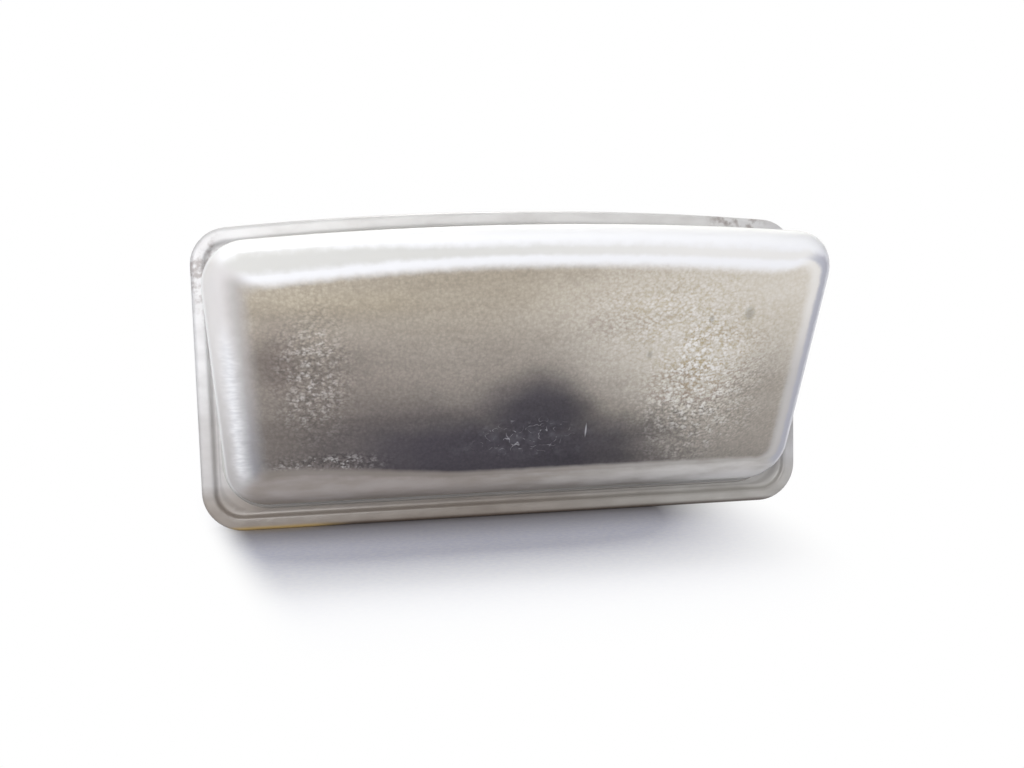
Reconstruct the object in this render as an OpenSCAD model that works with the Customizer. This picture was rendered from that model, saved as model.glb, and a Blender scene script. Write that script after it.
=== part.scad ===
// Number plate lamp, real size, in millimetres.
// A clear wedge-shaped lens with its flange, a clip-in housing behind it,
// and a twist-in holder with a wedge-base bulb and a two-way socket.
// The panel seat lies in the plane Y = 0, the lens points to -Y, Z is up.

/* [Flange] */
// Width of the lens flange
flange_w = 78; // [72:0.5:86]
// Height of the flange at its corners
flange_h = 37.4; // [35:0.1:42]
// Rise of the bowed top edge above the corners
flange_bow = 1.9; // [0:0.1:3]
// Radius of the two upper corners
flange_r_top = 4.2; // [2:0.1:6]
// Radius of the two lower corners
flange_r_low = 5; // [2:0.1:7]
// Thickness of the flange
flange_t = 2.2; // [1.5:0.1:3]
// Width of the raised rim round the flange
rim_w = 1.7; // [1:0.1:2]
// Height of the rim above the groove inside it
rim_h = 0.5; // [0.2:0.05:0.8]

/* [Lens tub] */
// Setback of the tub from the flange's two sides
inset_side = 3.7; // [3.2:0.1:5]
// Setback of the tub from the flange's top
inset_top = 2.8; // [2.6:0.1:4]
// Setback of the tub from the flange's bottom
inset_low = 3.7; // [3:0.1:5]
// Rise of the tub's bowed top edge
tub_bow = 1.45; // [0:0.05:2]
// Radius of the tub's corners
tub_r = 4.8; // [3:0.1:6]
// Depth of the tub in front of the flange at its top
tub_depth_top = 21.6; // [18:0.2:26]
// Depth of the tub in front of the flange at its bottom
tub_depth_low = 4.6; // [4:0.1:6]
// Rounding of the shoulder between wall and face
shoulder_r = 2.2; // [1:0.1:2.6]
// Wall of the lens
lens_wall = 2; // [1.5:0.1:2.5]
// Draft of the tub's walls in degrees
draft = 1; // [0:0.25:1.5]
// Fillet where the tub meets the flange
foot_fillet = 0.7; // [0.3:0.1:0.8]

/* [Panel seal] */
// Thickness of the seal when seated
seal_t = 1.5; // [1:0.1:2.5]
// Width of the seal
seal_w = 1.7; // [1.4:0.1:1.8]
// Setback of the seal from the flange edge
seal_setback = 1; // [0.5:0.1:1.2]

/* [Housing] */
// Ledge for the reflector at the two sides
ledge_side = 2.9; // [2.4:0.1:5]
// Ledge for the reflector at the top and the bottom
ledge_end = 0.5; // [0.4:0.05:1]
// Depth of the housing behind the panel seat
box_depth = 14; // [13:0.5:18]
// Wall of the housing
box_wall = 1.6; // [1.2:0.1:1.8]
// Thickness of the housing's rear wall
box_back = 2; // [1.6:0.1:2.5]
// Corner radius of the housing
box_r = 4; // [2.5:0.1:5]
// Gap between the housing's rim and the seal
rim_gap = 0.4; // [0.2:0.05:0.8]
// Height of the spigot inside the lens
spigot_h = 2.2; // [1:0.1:3]
// Wall of the spigot
spigot_wall = 1; // [0.8:0.1:1.2]
// Gap between the spigot and the hollow of the lens
spigot_gap = 0.35; // [0.3:0.05:0.6]
// Thickest panel that the clips take
panel_t = 1.6; // [1:0.1:2.4]
// Radius of the vent's membrane
vent_r = 3.5; // [2.5:0.25:4]
// Distance of the vent from the centre
vent_x = 19; // [16:0.5:24]

/* [Clips] */
// Reach of the fixed hook past the housing's side
hook_reach = 3.4; // [2:0.1:3.6]
// Width of the fixed hook
hook_w = 12; // [8:0.5:14]
// Width of the leaf spring
spring_w = 8; // [6:0.5:10]
// Thickness of the leaf spring
spring_t = 0.5; // [0.4:0.05:0.6]
// Reach of the spring's crest past the housing's side
spring_reach = 3.5; // [3:0.1:3.6]
// Height of the spring's and the hook's centre line
clip_z = 0.5; // [-2:0.5:2]

/* [Bulb holder] */
// Radius of the holder's bore in the housing
bore_r = 6.6; // [6.3:0.05:6.6]
// Height of the holder's axis above the inside of the housing
holder_up = 7.1; // [7:0.1:9]
// Running gap between the holder and its bore
holder_gap = 0.25; // [0.15:0.05:0.35]
// Radius of the holder's cap
cap_r = 8.2; // [7.8:0.1:8.3]
// Thickness of the holder's cap
cap_t = 2.2; // [1.8:0.1:3]
// Thickness of the holder's seal ring
holder_seal_t = 1.2; // [0.8:0.1:1.6]
// Width of the two bayonet lugs
lug_w = 4; // [3:0.1:4.5]
// Reach of a lug past the bore
lug_reach = 1.2; // [0.8:0.1:1.3]
// Length of the socket behind the cap
socket_l = 14; // [13:0.5:16]
// Width of the socket's hollow
socket_w = 10.6; // [10:0.1:11]
// Height of the socket's hollow
socket_h = 6.8; // [6.4:0.1:7]
// Wall of the socket
socket_wall = 1.2; // [1:0.1:1.4]
// Length of a blade in the socket
blade_l = 6; // [5:0.25:7]

/* [Bulb] */
// Radius of the bulb's glass
bulb_r = 5.1; // [4.5:0.05:5.1]
// Whole length of the bulb
bulb_l = 25.4; // [24:0.2:26]
// Width of the wedge base
base_w = 9.2; // [9:0.1:9.4]
// Thickness of the wedge base
base_t = 2.2; // [2:0.1:2.4]
// Length of the wedge base
base_l = 8.4; // [8:0.2:9]
// Wall of the glass
glass_t = 0.6; // [0.4:0.05:0.8]
// Distance of the filament from the tip
filament_back = 8.5; // [7:0.25:10]

/* [Reflector] */
// Thickness of the reflector
reflector_t = 0.8; // [0.6:0.05:1]
// Depth of the reflector's back behind the panel seat
reflector_y = 7.2; // [6:0.2:8]
// Radius of the opening round the bulb
reflector_hole_r = 6.2; // [5.6:0.1:6.4]
// Radius of the two heat stakes that hold it
stake_r = 0.7; // [0.5:0.05:0.8]

/* [View] */
// Piece to draw

/* [Hidden] */
$fn = 48;
corner_n = 7;                        // steps in a rounded corner
bow_n = 12;                          // steps along a bowed edge
slip = 0.1;                          // clearance between parts that slide together
bond = 0.02;                         // gap round a wire or strip that is moulded in

lens_back_y = -seal_t;               // the lens and the housing rim meet here
flange_y = lens_back_y - flange_t;   // front of the flange's groove
rim_y = flange_y - rim_h;            // front of the flange's rim
tub_w = flange_w - 2 * inset_side;
tub_top = flange_h / 2 - inset_top;
tub_low = inset_low - flange_h / 2;
slope = (tub_depth_top - tub_depth_low) / (tub_top - tub_low);
face_wall = lens_wall * sqrt(1 + slope * slope);
foot_out = tan(draft) * tub_depth_top;               // how far the draft widens the foot

spigot_in = lens_wall - foot_out + spigot_gap + spigot_wall;   // from the tub's outline to inside the spigot
box_in_low = tub_low + spigot_in + ledge_end;
box_in_top = tub_top - spigot_in - ledge_end;
box_w = tub_w - 2 * (spigot_in + ledge_side - box_wall);
holder_z = box_in_low + holder_up;   // height of the holder's axis
vent_z = (box_in_top + holder_z) / 2;
vent_seat = 0.6;                     // depth of the membrane's seat
box_in_y = box_depth - box_back;     // inside of the housing's rear wall
boss_y = box_depth + 1;              // rear end of the boss round the bore
boss_r = bore_r + 1.6;
holder_r = bore_r - holder_gap;
cap_y = boss_y + holder_seal_t;      // front of the cap
holder_front_y = box_in_y - slip - 2.2;
socket_y = cap_y + cap_t;            // where the socket starts
socket_floor_y = socket_y + 2.4;
socket_end_y = socket_y + socket_l;
base_end_y = holder_front_y + base_l + 0.4;          // end of the wedge base
bulb_tip_y = base_end_y - bulb_l;
pinch_y = base_end_y - base_l;       // where the round glass ends
seat_end_y = base_end_y + 0.8;       // bottom of the wedge base's seat
lead_x = 2.6;                        // offset of the two contacts from the axis
lead_r = 0.25;                       // radius of a lead wire
pinch_x = 1.6;                       // offset of the leads inside the wedge base
blade_t = 0.6;                       // thickness of a contact's blade
blade_w = 2.2;                       // width of a contact
filament_y = bulb_tip_y + filament_back;
filament_half = 2.4;                 // half the length of the filament

clear = [0.86, 0.87, 0.85, 0.45];
smoke = [0.20, 0.19, 0.22];
aged_silver = [0.66, 0.63, 0.57];
foam = [0.27, 0.22, 0.18];
black = [0.12, 0.12, 0.13];
spring_steel = [0.55, 0.56, 0.58];
tinned = [0.72, 0.70, 0.64];
glass = [0.88, 0.90, 0.90, 0.4];

// Outlines and lofts

function arc(cx, cz, r, a0, a1) =
    [for (i = [0 : corner_n]) let (a = a0 + (a1 - a0) * i / corner_n) [cx + r * cos(a), cz + r * sin(a)]];

// A rounded rectangle with a bowed top edge, anticlockwise as [x, z].
function outline(hw, low, top, bow, r_top, r_low) =
    let (flat = concat(
        [for (p = arc(hw - r_low, low + r_low, r_low, -90, 0)) [p[0], p[1], 0]],
        [for (p = arc(hw - r_top, top - r_top, r_top, 0, 90)) [p[0], p[1], 1]],
        [for (i = [1 : bow_n - 1]) [(hw - r_top) * (1 - 2 * i / bow_n), top, 1]],
        [for (p = arc(r_top - hw, top - r_top, r_top, 90, 180)) [p[0], p[1], 1]],
        [for (p = arc(r_low - hw, low + r_low, r_low, 180, 270)) [p[0], p[1], 0]]))
    [for (p = flat) [p[0], p[1] + p[2] * bow * (1 - pow(p[0] / hw, 2))]];

function flange_outline(inset) = outline(flange_w / 2 - inset, inset - flange_h / 2, flange_h / 2 - inset,
    flange_bow, max(flange_r_top - inset, 0.8), max(flange_r_low - inset, 0.8));

function tub_outline(inset) = outline(tub_w / 2 - inset, tub_low + inset, tub_top - inset,
    tub_bow, max(tub_r - inset, 1), max(tub_r - inset, 1));

function box_outline(inset) = outline(box_w / 2 - inset, box_in_low + inset - box_wall, box_in_top - inset + box_wall,
    tub_bow, max(box_r - inset, 0.8), max(box_r - inset, 0.8));

// The sloping face of the tub, moved back by a wall.
function face_y(z, back) = rim_y - tub_depth_low - slope * (z - tub_low) + back;

function flat_ring(points, y) = [for (p = points) [p[0], y, p[1]]];
function face_ring(points, back) = [for (p = points) [p[0], face_y(p[1], back), p[1]]];

// Joins rings with equal counts of points into one closed solid.
module loft(rings) {
    n = len(rings[0]);
    last = len(rings) - 1;
    polyhedron(
        points = [for (r = rings) each r],
        faces = concat(
            [[for (j = [n - 1 : -1 : 0]) j]],
            [for (i = [0 : last - 1], j = [0 : n - 1]) let (k = (j + 1) % n)
                each [[i * n + j, i * n + k, (i + 1) * n + k], [i * n + j, (i + 1) * n + k, (i + 1) * n + j]]],
            [[for (j = [0 : n - 1]) last * n + j]]),
        convexity = 8);
}

// A flat outline given depth from y0 to y1.
module slab(points, y0, y1) {
    translate([0, y1, 0]) rotate([90, 0, 0]) linear_extrude(height = y1 - y0) polygon(points);
}

// A cylinder along Y from y0 to y1, on the holder's axis.
module barrel(r, y0, y1) {
    translate([0, y1, holder_z]) rotate([90, 0, 0]) cylinder(r = r, h = y1 - y0);
}

// A block from one corner to the other.
module block(low, high) {
    translate(low) cube(high - low);
}

// Two points in place of each bend of a path, each a little way from it.
function eased(p, c) = concat([p[0]],
    [for (i = [1 : len(p) - 2], d = [p[i - 1] - p[i], p[i + 1] - p[i]]) p[i] + d * c / norm(d)], [p[len(p) - 1]]);

// A ring of points round the tangent of a path.
function tube_ring(c, t, r, n) = let (u = cross(t, [0, 0, 1]) / norm(cross(t, [0, 0, 1])), v = cross(u, t) / norm(t))
    [for (j = [0 : n - 1]) let (b = 360 * j / n) c + r * (cos(b) * v + sin(b) * u)];

// A round wire through points.
module wire(path, r, n = 10) {
    p = eased(path, 1.2 * r);
    loft([for (i = [0 : len(p) - 1])
        let (a = p[i] - p[max(i - 1, 0)], b = p[min(i + 1, len(p) - 1)] - p[i],
             t = (i > 0 ? a / norm(a) : [0, 0, 0]) + (i < len(p) - 1 ? b / norm(b) : [0, 0, 0]))
            tube_ring(p[i], t, r, n)]);
}

// Unit normals of a path in a plane, averaged at its bends.
function path_normal(p, i) =
    let (a = p[max(i - 1, 0)], b = p[min(i + 1, len(p) - 1)], d = (b - a) / norm(b - a)) [-d[1], d[0]];

// A strip of sheet bent along a path, as a flat outline.
module strip(path, t) {
    polygon(concat(
        [for (i = [0 : len(path) - 1]) path[i] + path_normal(path, i) * t / 2],
        [for (i = [len(path) - 1 : -1 : 0]) path[i] - path_normal(path, i) * t / 2]));
}

// Lens

module lens() {
    n_round = 5;
    foot_in = -foot_out;
    color(clear) loft(concat(
        // the rounded shoulder outside, from the face to the wall
        [for (i = [0 : n_round]) let (a = 90 * (1 - i / n_round))
            face_ring(tub_outline(shoulder_r * (1 - cos(a))), shoulder_r * (1 - sin(a)))],
        // down the wall to the flange, with a fillet at its foot
        [for (i = [0 : 2]) let (a = 90 * i / 2)
            flat_ring(tub_outline(foot_in - foot_fillet * (1 - cos(a))), flange_y - foot_fillet * (1 - sin(a)))],
        // the groove and the raised rim of the flange
        [flat_ring(flange_outline(rim_w + 0.3), flange_y),
         flat_ring(flange_outline(rim_w - 0.1), rim_y),
         flat_ring(flange_outline(0.35), rim_y),
         flat_ring(flange_outline(0.1), rim_y + 0.12),
         flat_ring(flange_outline(0), rim_y + 0.4),
         flat_ring(flange_outline(0), lens_back_y)],
        // the hollow
        [flat_ring(tub_outline(lens_wall - foot_out), lens_back_y)],
        [for (i = [0 : 3]) let (a = 90 * i / 3, r = shoulder_r / 2)
            face_ring(tub_outline(lens_wall + r * (1 - cos(a))), face_wall + r * (1 - sin(a)))]));
}

// Panel seal

module panel_seal() {
    color(foam) difference() {
        slab(flange_outline(seal_setback), lens_back_y, 0);
        slab(flange_outline(seal_setback + seal_w), lens_back_y - 1, 1);
    }
}

// Housing

// The housing's rim lies inside the seal.
function housing_rim(inset) = flange_outline(seal_setback + seal_w + rim_gap + inset);
function spigot(inset) = tub_outline(lens_wall - foot_out + spigot_gap + inset);

module fixed_hook() {
    x = -box_w / 2;
    // a ramp that passes the panel's edge, and a flat front that grips behind it
    translate([0, 0, clip_z - hook_w / 2]) linear_extrude(height = hook_w)
        polygon([[x + 0.5, panel_t], [x - hook_reach, panel_t], [x - hook_reach, panel_t + 1.2],
                 [x - hook_reach + 1, panel_t + 4], [x, panel_t + 8], [x + 0.5, panel_t + 8]]);
}

module spring_rails() {
    x = box_w / 2;
    for (s = [-1, 1]) translate([0, 0, clip_z]) {
        // a rail with a lip over the leaf's edge
        z0 = spring_w / 2 + slip;
        block([x - 0.3, 5, s > 0 ? z0 : -z0 - 1.2], [x + spring_t + 2 * slip, box_depth - 1, s > 0 ? z0 + 1.2 : -z0]);
        block([x + spring_t + slip, 5, s > 0 ? z0 - 0.9 : -z0 - 1.2], [x + spring_t + 0.9, box_depth - 1.5, s > 0 ? z0 + 1.2 : -z0 + 0.9]);
    }
    // the nub that the spring's window drops over
    translate([x - 0.3, 8, clip_z]) rotate([0, 90, 0]) cylinder(r = 1, h = 0.3 + spring_t);
}

module housing() {
    color(smoke) difference() {
        union() {
            slab(housing_rim(0), lens_back_y, -slip);
            slab(spigot(0), lens_back_y - spigot_h, lens_back_y + 0.5);
            slab(box_outline(0), -slip - 0.5, box_depth);
            barrel(boss_r, box_depth - 0.5, boss_y);
            fixed_hook();
            spring_rails();
        }
        // inside the spigot, then inside the box
        slab(spigot(spigot_wall), lens_back_y - spigot_h - 1, lens_back_y);
        slab(box_outline(box_wall), lens_back_y - 1, box_in_y);
        // the bore and the two gaps that let the lugs in
        barrel(bore_r, box_in_y - 1, boss_y + 1);
        translate([0, 0, holder_z]) rotate([0, 40, 0])
            block([-bore_r - lug_reach - slip, box_in_y - 1, -lug_w / 2 - slip], [bore_r + lug_reach + slip, boss_y + 1, lug_w / 2 + slip]);
        // the vent's seat and its three small holes
        at_vent(vent_r + slip, box_depth - vent_seat, box_depth + 1);
        for (a = [90, 210, 330]) translate([vent_r / 2 * cos(a), 0, vent_r / 2 * sin(a)]) at_vent(0.6, box_in_y - 1, box_depth);
    }
    color(smoke) stakes(stake_r, lens_back_y - reflector_t - 0.4);
}

module at_vent(r, y0, y1) {
    translate([vent_x, y1, vent_z]) rotate([90, 0, 0]) cylinder(r = r, h = y1 - y0);
}

module vent_membrane() {
    color(black) at_vent(vent_r, box_depth - vent_seat, box_depth - vent_seat + 0.3);
}

// Reflector

stake_x = tub_w / 2 - spigot_in - ledge_side / 2;
stake_end = 4.5;                     // distance of a stake from the housing's inside

module stakes(r, y) {
    for (s = [-1, 1], z = [box_in_low + stake_end, box_in_top - stake_end])
        translate([s * stake_x, lens_back_y, z]) rotate([90, 0, 0]) cylinder(r = r, h = lens_back_y - y, $fn = 24);
}

module reflector() {
    lip = spigot_wall + 2 * slip;
    dish = box_wall + 0.3;
    // insets and depths of the dish's wall, from its mouth to its back
    wall = [[0, lens_back_y], [1, reflector_y / 3], [2.6, reflector_y * 0.8], [4, reflector_y]];
    color(aged_silver) difference() {
        loft(concat(
            [for (i = [3 : -1 : 0]) flat_ring(box_outline(dish + wall[i][0] + reflector_t), wall[i][1] - reflector_t)],
            [flat_ring(spigot(lip), lens_back_y - reflector_t), flat_ring(spigot(lip), lens_back_y)],
            [for (w = wall) flat_ring(box_outline(dish + w[0]), w[1])]));
        barrel(reflector_hole_r, lens_back_y + 0.4, reflector_y + 1);
        stakes(stake_r + slip, lens_back_y - reflector_t - 1);
    }
}

// Retaining spring

module retaining_spring() {
    x = box_w / 2 + spring_t / 2 + 0.02;
    crest = box_w / 2 + spring_reach;
    rear = box_depth - 0.4;
    path = concat(
        [[x, 5.4], [x, rear - 1]],
        // the bend at the rear
        [for (i = [1 : 6]) let (a = 180 - 30 * i) [x + 0.75 + 0.75 * cos(a), rear - 1 + 0.75 * sin(a)]],
        [[crest - 1.2, panel_t + 6], [crest - 0.3, panel_t + 4], [crest - spring_t / 2, panel_t + 2.9],
         [crest - 0.5, panel_t + 1.9], [crest - 1.5, panel_t + 0.3]]);
    color(spring_steel) difference() {
        translate([0, 0, clip_z - spring_w / 2]) linear_extrude(height = spring_w) strip(path, spring_t);
        translate([x - 1, 8, clip_z]) rotate([0, 90, 0]) cylinder(r = 1.3, h = 1.6);
    }
}

// Bulb holder

// A contact's path in the plane across the wedge base: a sprung finger,
// then through the floor of the holder to a blade in the socket.
function contact_path() = [
    [holder_front_y + 1.2, base_t / 2 + 2 * lead_r + 0.9], [holder_front_y + 3, base_t / 2 + 2 * lead_r + blade_t / 2 + 0.05],
    [holder_front_y + 4.2, base_t / 2 + 2 * lead_r + blade_t / 2 + 0.05], [holder_front_y + 6.5, base_t / 2 + 2 * lead_r + 0.9],
    [seat_end_y, base_t / 2 + 2 * lead_r + 0.9], [socket_floor_y, 0], [socket_floor_y + blade_l, 0]];

module contact(side, grow = 0) {
    translate([side * lead_x, 0, holder_z]) scale([1, 1, side])
        rotate([0, 0, 90]) rotate([90, 0, 0])
            translate([0, 0, -blade_w / 2 - grow]) linear_extrude(height = blade_w + 2 * grow)
                strip(contact_path(), blade_t + 2 * grow);
}

module contact_left() { color(tinned) contact(-1); }
module contact_right() { color(tinned) contact(1); }

module bulb_holder() {
    half_w = socket_w / 2;
    half_h = socket_h / 2;
    color(black) difference() {
        union() {
            barrel(holder_r, holder_front_y, cap_y + 0.5);
            // the two lugs, turned to lie behind the rear wall
            intersection() {
                barrel(bore_r + lug_reach - slip, holder_front_y + 0.6, box_in_y - slip);
                block([-cap_r, 0, holder_z - lug_w / 2], [cap_r, box_in_y, holder_z + lug_w / 2]);
            }
            barrel(cap_r, cap_y, socket_y);
            // finger grips on the cap
            for (a = [0 : 30 : 330]) translate([0, 0, holder_z]) rotate([0, a, 0])
                translate([cap_r - 0.5, socket_y, 0]) rotate([90, 0, 0]) cylinder(r = 0.5, h = cap_t - 0.4, $fn = 16);
            // the socket and the ramp that the plug's latch snaps over
            block([-half_w - socket_wall, socket_y - 0.5, holder_z - half_h - socket_wall],
                  [half_w + socket_wall, socket_end_y, holder_z + half_h + socket_wall]);
            translate([-2, 0, holder_z + half_h + socket_wall]) rotate([90, 0, 90]) linear_extrude(height = 4)
                polygon([[socket_end_y - 7, -0.5], [socket_end_y - 7, 1], [socket_end_y - 6, 1], [socket_end_y - 3, -0.5]]);
        }
        // the socket's hollow and its two key ways
        block([-half_w, socket_floor_y, holder_z - half_h], [half_w, socket_end_y + 1, holder_z + half_h]);
        for (s = [-1, 1]) block([s * 3 - 0.6, socket_floor_y + 2, holder_z - half_h - 0.5], [s * 3 + 0.6, socket_end_y + 1, holder_z]);
        // a round recess for the glass, and the seat of the wedge base
        barrel(base_w / 2 + slip, holder_front_y - 1, pinch_y + 0.2);
        block([-base_w / 2 - slip, holder_front_y - 1, holder_z - base_t / 2 - slip],
              [base_w / 2 + slip, seat_end_y, holder_z + base_t / 2 + slip]);
        // a pocket behind each contact's finger
        for (s = [-1, 1]) {
            near = base_t / 2 - 0.1;
            far = base_t / 2 + 2 * lead_r + 1.4;
            block([s * lead_x - blade_w / 2 - slip, holder_front_y - 1, holder_z + (s > 0 ? near : -far)],
                  [s * lead_x + blade_w / 2 + slip, seat_end_y, holder_z + (s > 0 ? far : -near)]);
            contact(s, bond);
        }
    }
}

module holder_seal() {
    color(foam) difference() {
        barrel(boss_r - 0.1, boss_y, cap_y);
        barrel(bore_r, boss_y - 1, cap_y + 1);
    }
}

// Bulb

function dome(r, tip) = [for (i = [0 : 10]) let (a = 9 * i) [r * sin(a), tip + r * (1 - cos(a))]];

module bulb_glass() {
    color(glass) difference() {
        union() {
            translate([0, 0, holder_z]) rotate([-90, 0, 0]) rotate_extrude()
                polygon(concat(dome(bulb_r, bulb_tip_y),
                    [[bulb_r, pinch_y - 4.5], [bulb_r - 0.8, pinch_y - 2], [base_w / 2 - 0.8, pinch_y], [0, pinch_y]]));
            block([-base_w / 2, pinch_y - 1, holder_z - base_t / 2], [base_w / 2, base_end_y, holder_z + base_t / 2]);
        }
        translate([0, 0, holder_z]) rotate([-90, 0, 0]) rotate_extrude()
            polygon(concat(dome(bulb_r - glass_t, bulb_tip_y + glass_t),
                [[bulb_r - glass_t, pinch_y - 5], [bulb_r - 1.6, pinch_y - 3], [0, pinch_y - 3]]));
        // the leads are sealed in here
        for (s = [-1, 1]) translate([s * pinch_x, 0, 0]) barrel(lead_r + bond, pinch_y - 4, base_end_y + 1);
    }
}

// A lead runs from the filament through the pinch and folds back along the base.
function lead_path(s) = [
    [s * filament_half, filament_y, holder_z], [s * pinch_x, pinch_y - 3.4, holder_z], [s * pinch_x, base_end_y + 0.45, holder_z],
    [s * lead_x, base_end_y + 0.45, holder_z + s * (base_t / 2 + lead_r + bond)],
    [s * lead_x, holder_front_y + 2, holder_z + s * (base_t / 2 + lead_r + bond)]];

module lead_wire_left() { color(tinned) wire(lead_path(-1), lead_r); }
module lead_wire_right() { color(tinned) wire(lead_path(1), lead_r); }

module filament() {
    turns = 8;
    steps = 9;
    r = 0.38;
    wire_r = 0.09;
    l = 2 * (filament_half - lead_r - 0.05);
    function at(t) = [-l / 2 + l * t, filament_y + r * cos(360 * turns * t), holder_z + r * sin(360 * turns * t)];
    color(tinned) loft([for (i = [0 : turns * steps]) let (t = i / (turns * steps), a = 360 * turns * t)
        [for (j = [0 : 5]) let (b = 60 * j) at(t) + wire_r * [sin(b), cos(b) * cos(a), cos(b) * sin(a)]]]);
}

lens();
panel_seal();
housing();
vent_membrane();
reflector();
retaining_spring();
bulb_holder();
holder_seal();
contact_left();
contact_right();
bulb_glass();
filament();
lead_wire_left();
lead_wire_right();
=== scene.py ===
"""A number plate lamp with a clear wedge-shaped lens, dressed for its photograph.

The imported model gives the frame. Sizes here are in millimetres until a mesh is made.
The panel seat lies in the plane Y = 0, the lens points to -Y and Z is up.
"""
import logging
import math
from dataclasses import dataclass, field, replace
from enum import IntEnum
from typing import Any, Sequence

import bmesh
import bpy
from mathutils import Matrix, Vector, geometry


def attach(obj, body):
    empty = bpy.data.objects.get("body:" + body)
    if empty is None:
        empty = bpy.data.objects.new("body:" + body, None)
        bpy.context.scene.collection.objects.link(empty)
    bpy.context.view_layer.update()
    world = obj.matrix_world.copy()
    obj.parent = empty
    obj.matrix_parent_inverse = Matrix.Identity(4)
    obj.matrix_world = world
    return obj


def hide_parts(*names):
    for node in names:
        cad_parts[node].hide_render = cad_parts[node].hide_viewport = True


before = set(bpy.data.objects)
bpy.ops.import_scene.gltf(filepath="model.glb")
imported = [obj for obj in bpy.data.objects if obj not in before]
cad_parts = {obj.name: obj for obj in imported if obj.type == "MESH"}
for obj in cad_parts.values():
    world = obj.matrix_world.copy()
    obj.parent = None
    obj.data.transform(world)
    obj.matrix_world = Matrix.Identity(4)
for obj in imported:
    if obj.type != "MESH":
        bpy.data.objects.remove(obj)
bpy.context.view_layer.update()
log = logging.getLogger("lamp")

MM = 0.001
POLYCARBONATE = 1.58         # its index of refraction
WANDER = 5.0                 # the edge of a spot bulges in and out over this many millimetres
MERGE = 0.002                # points of a CAD mesh closer than this many millimetres are one
FLAT = 1.0                   # its triangles form one face up to this many degrees
CORNER = 40.0                # its edges are rounded from this many degrees on
Point = tuple[float, float]
Ring = list[tuple[float, float, float]]
Shades = tuple[str, str]     # from the high or left end to the low or right end


class Zone(IntEnum):
    """The parts of the lens moulding that have a finish of their own."""

    FACE = 0
    WALL = 1
    OPTICS = 2
    HOLLOW = 3
    FLANGE = 4


# Colours and nodes

def linear(hex_colour: str) -> tuple[float, float, float, float]:
    """Turns an sRGB hex colour into linear red, green, blue and alpha.

    Args:
        hex_colour: A colour such as "#A1B2C3".

    Returns:
        Four numbers from 0 to 1.
    """
    parts = [int(hex_colour[i:i + 2], 16) / 255 for i in (1, 3, 5)]
    return (*[c / 12.92 if c <= 0.04045 else ((c + 0.055) / 1.055) ** 2.4 for c in parts], 1.0)


def add_node(tree: bpy.types.NodeTree, kind: str, inputs: dict[Any, Any] | None = None,
             **settings: Any) -> bpy.types.Node:
    """Adds one node to a tree.

    Args:
        tree: The tree that gets the node.
        kind: The node's type name.
        inputs: A value or another node's output socket for each input, by name or number.
        **settings: The node's own properties.

    Returns:
        The new node.
    """
    made = tree.nodes.new(kind)
    for key, value in settings.items():
        setattr(made, key, value)
    for key, value in (inputs or {}).items():
        socket = made.inputs[key]
        if isinstance(value, bpy.types.NodeSocket):
            tree.links.new(value, socket)
        elif isinstance(value, str) and value.startswith("#"):
            socket.default_value = linear(value)
        else:
            socket.default_value = value
    return made


@dataclass(frozen=True)
class Spot:
    """A soft-edged oval seen from the front.

    Attributes:
        centre: Its X and Z in millimetres.
        radii: Its half width and half height in millimetres.
        soft: The share of the radius over which it fades, either way.
        warp: How far its edge wanders, as a share of the radius.
        share: How much of it shows.
        power: 2 gives an oval, and more gives a rounded box.
    """

    centre: Point
    radii: Point
    soft: float = 0.35
    warp: float = 0.0
    share: float = 1.0
    power: float = 2.0


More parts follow.
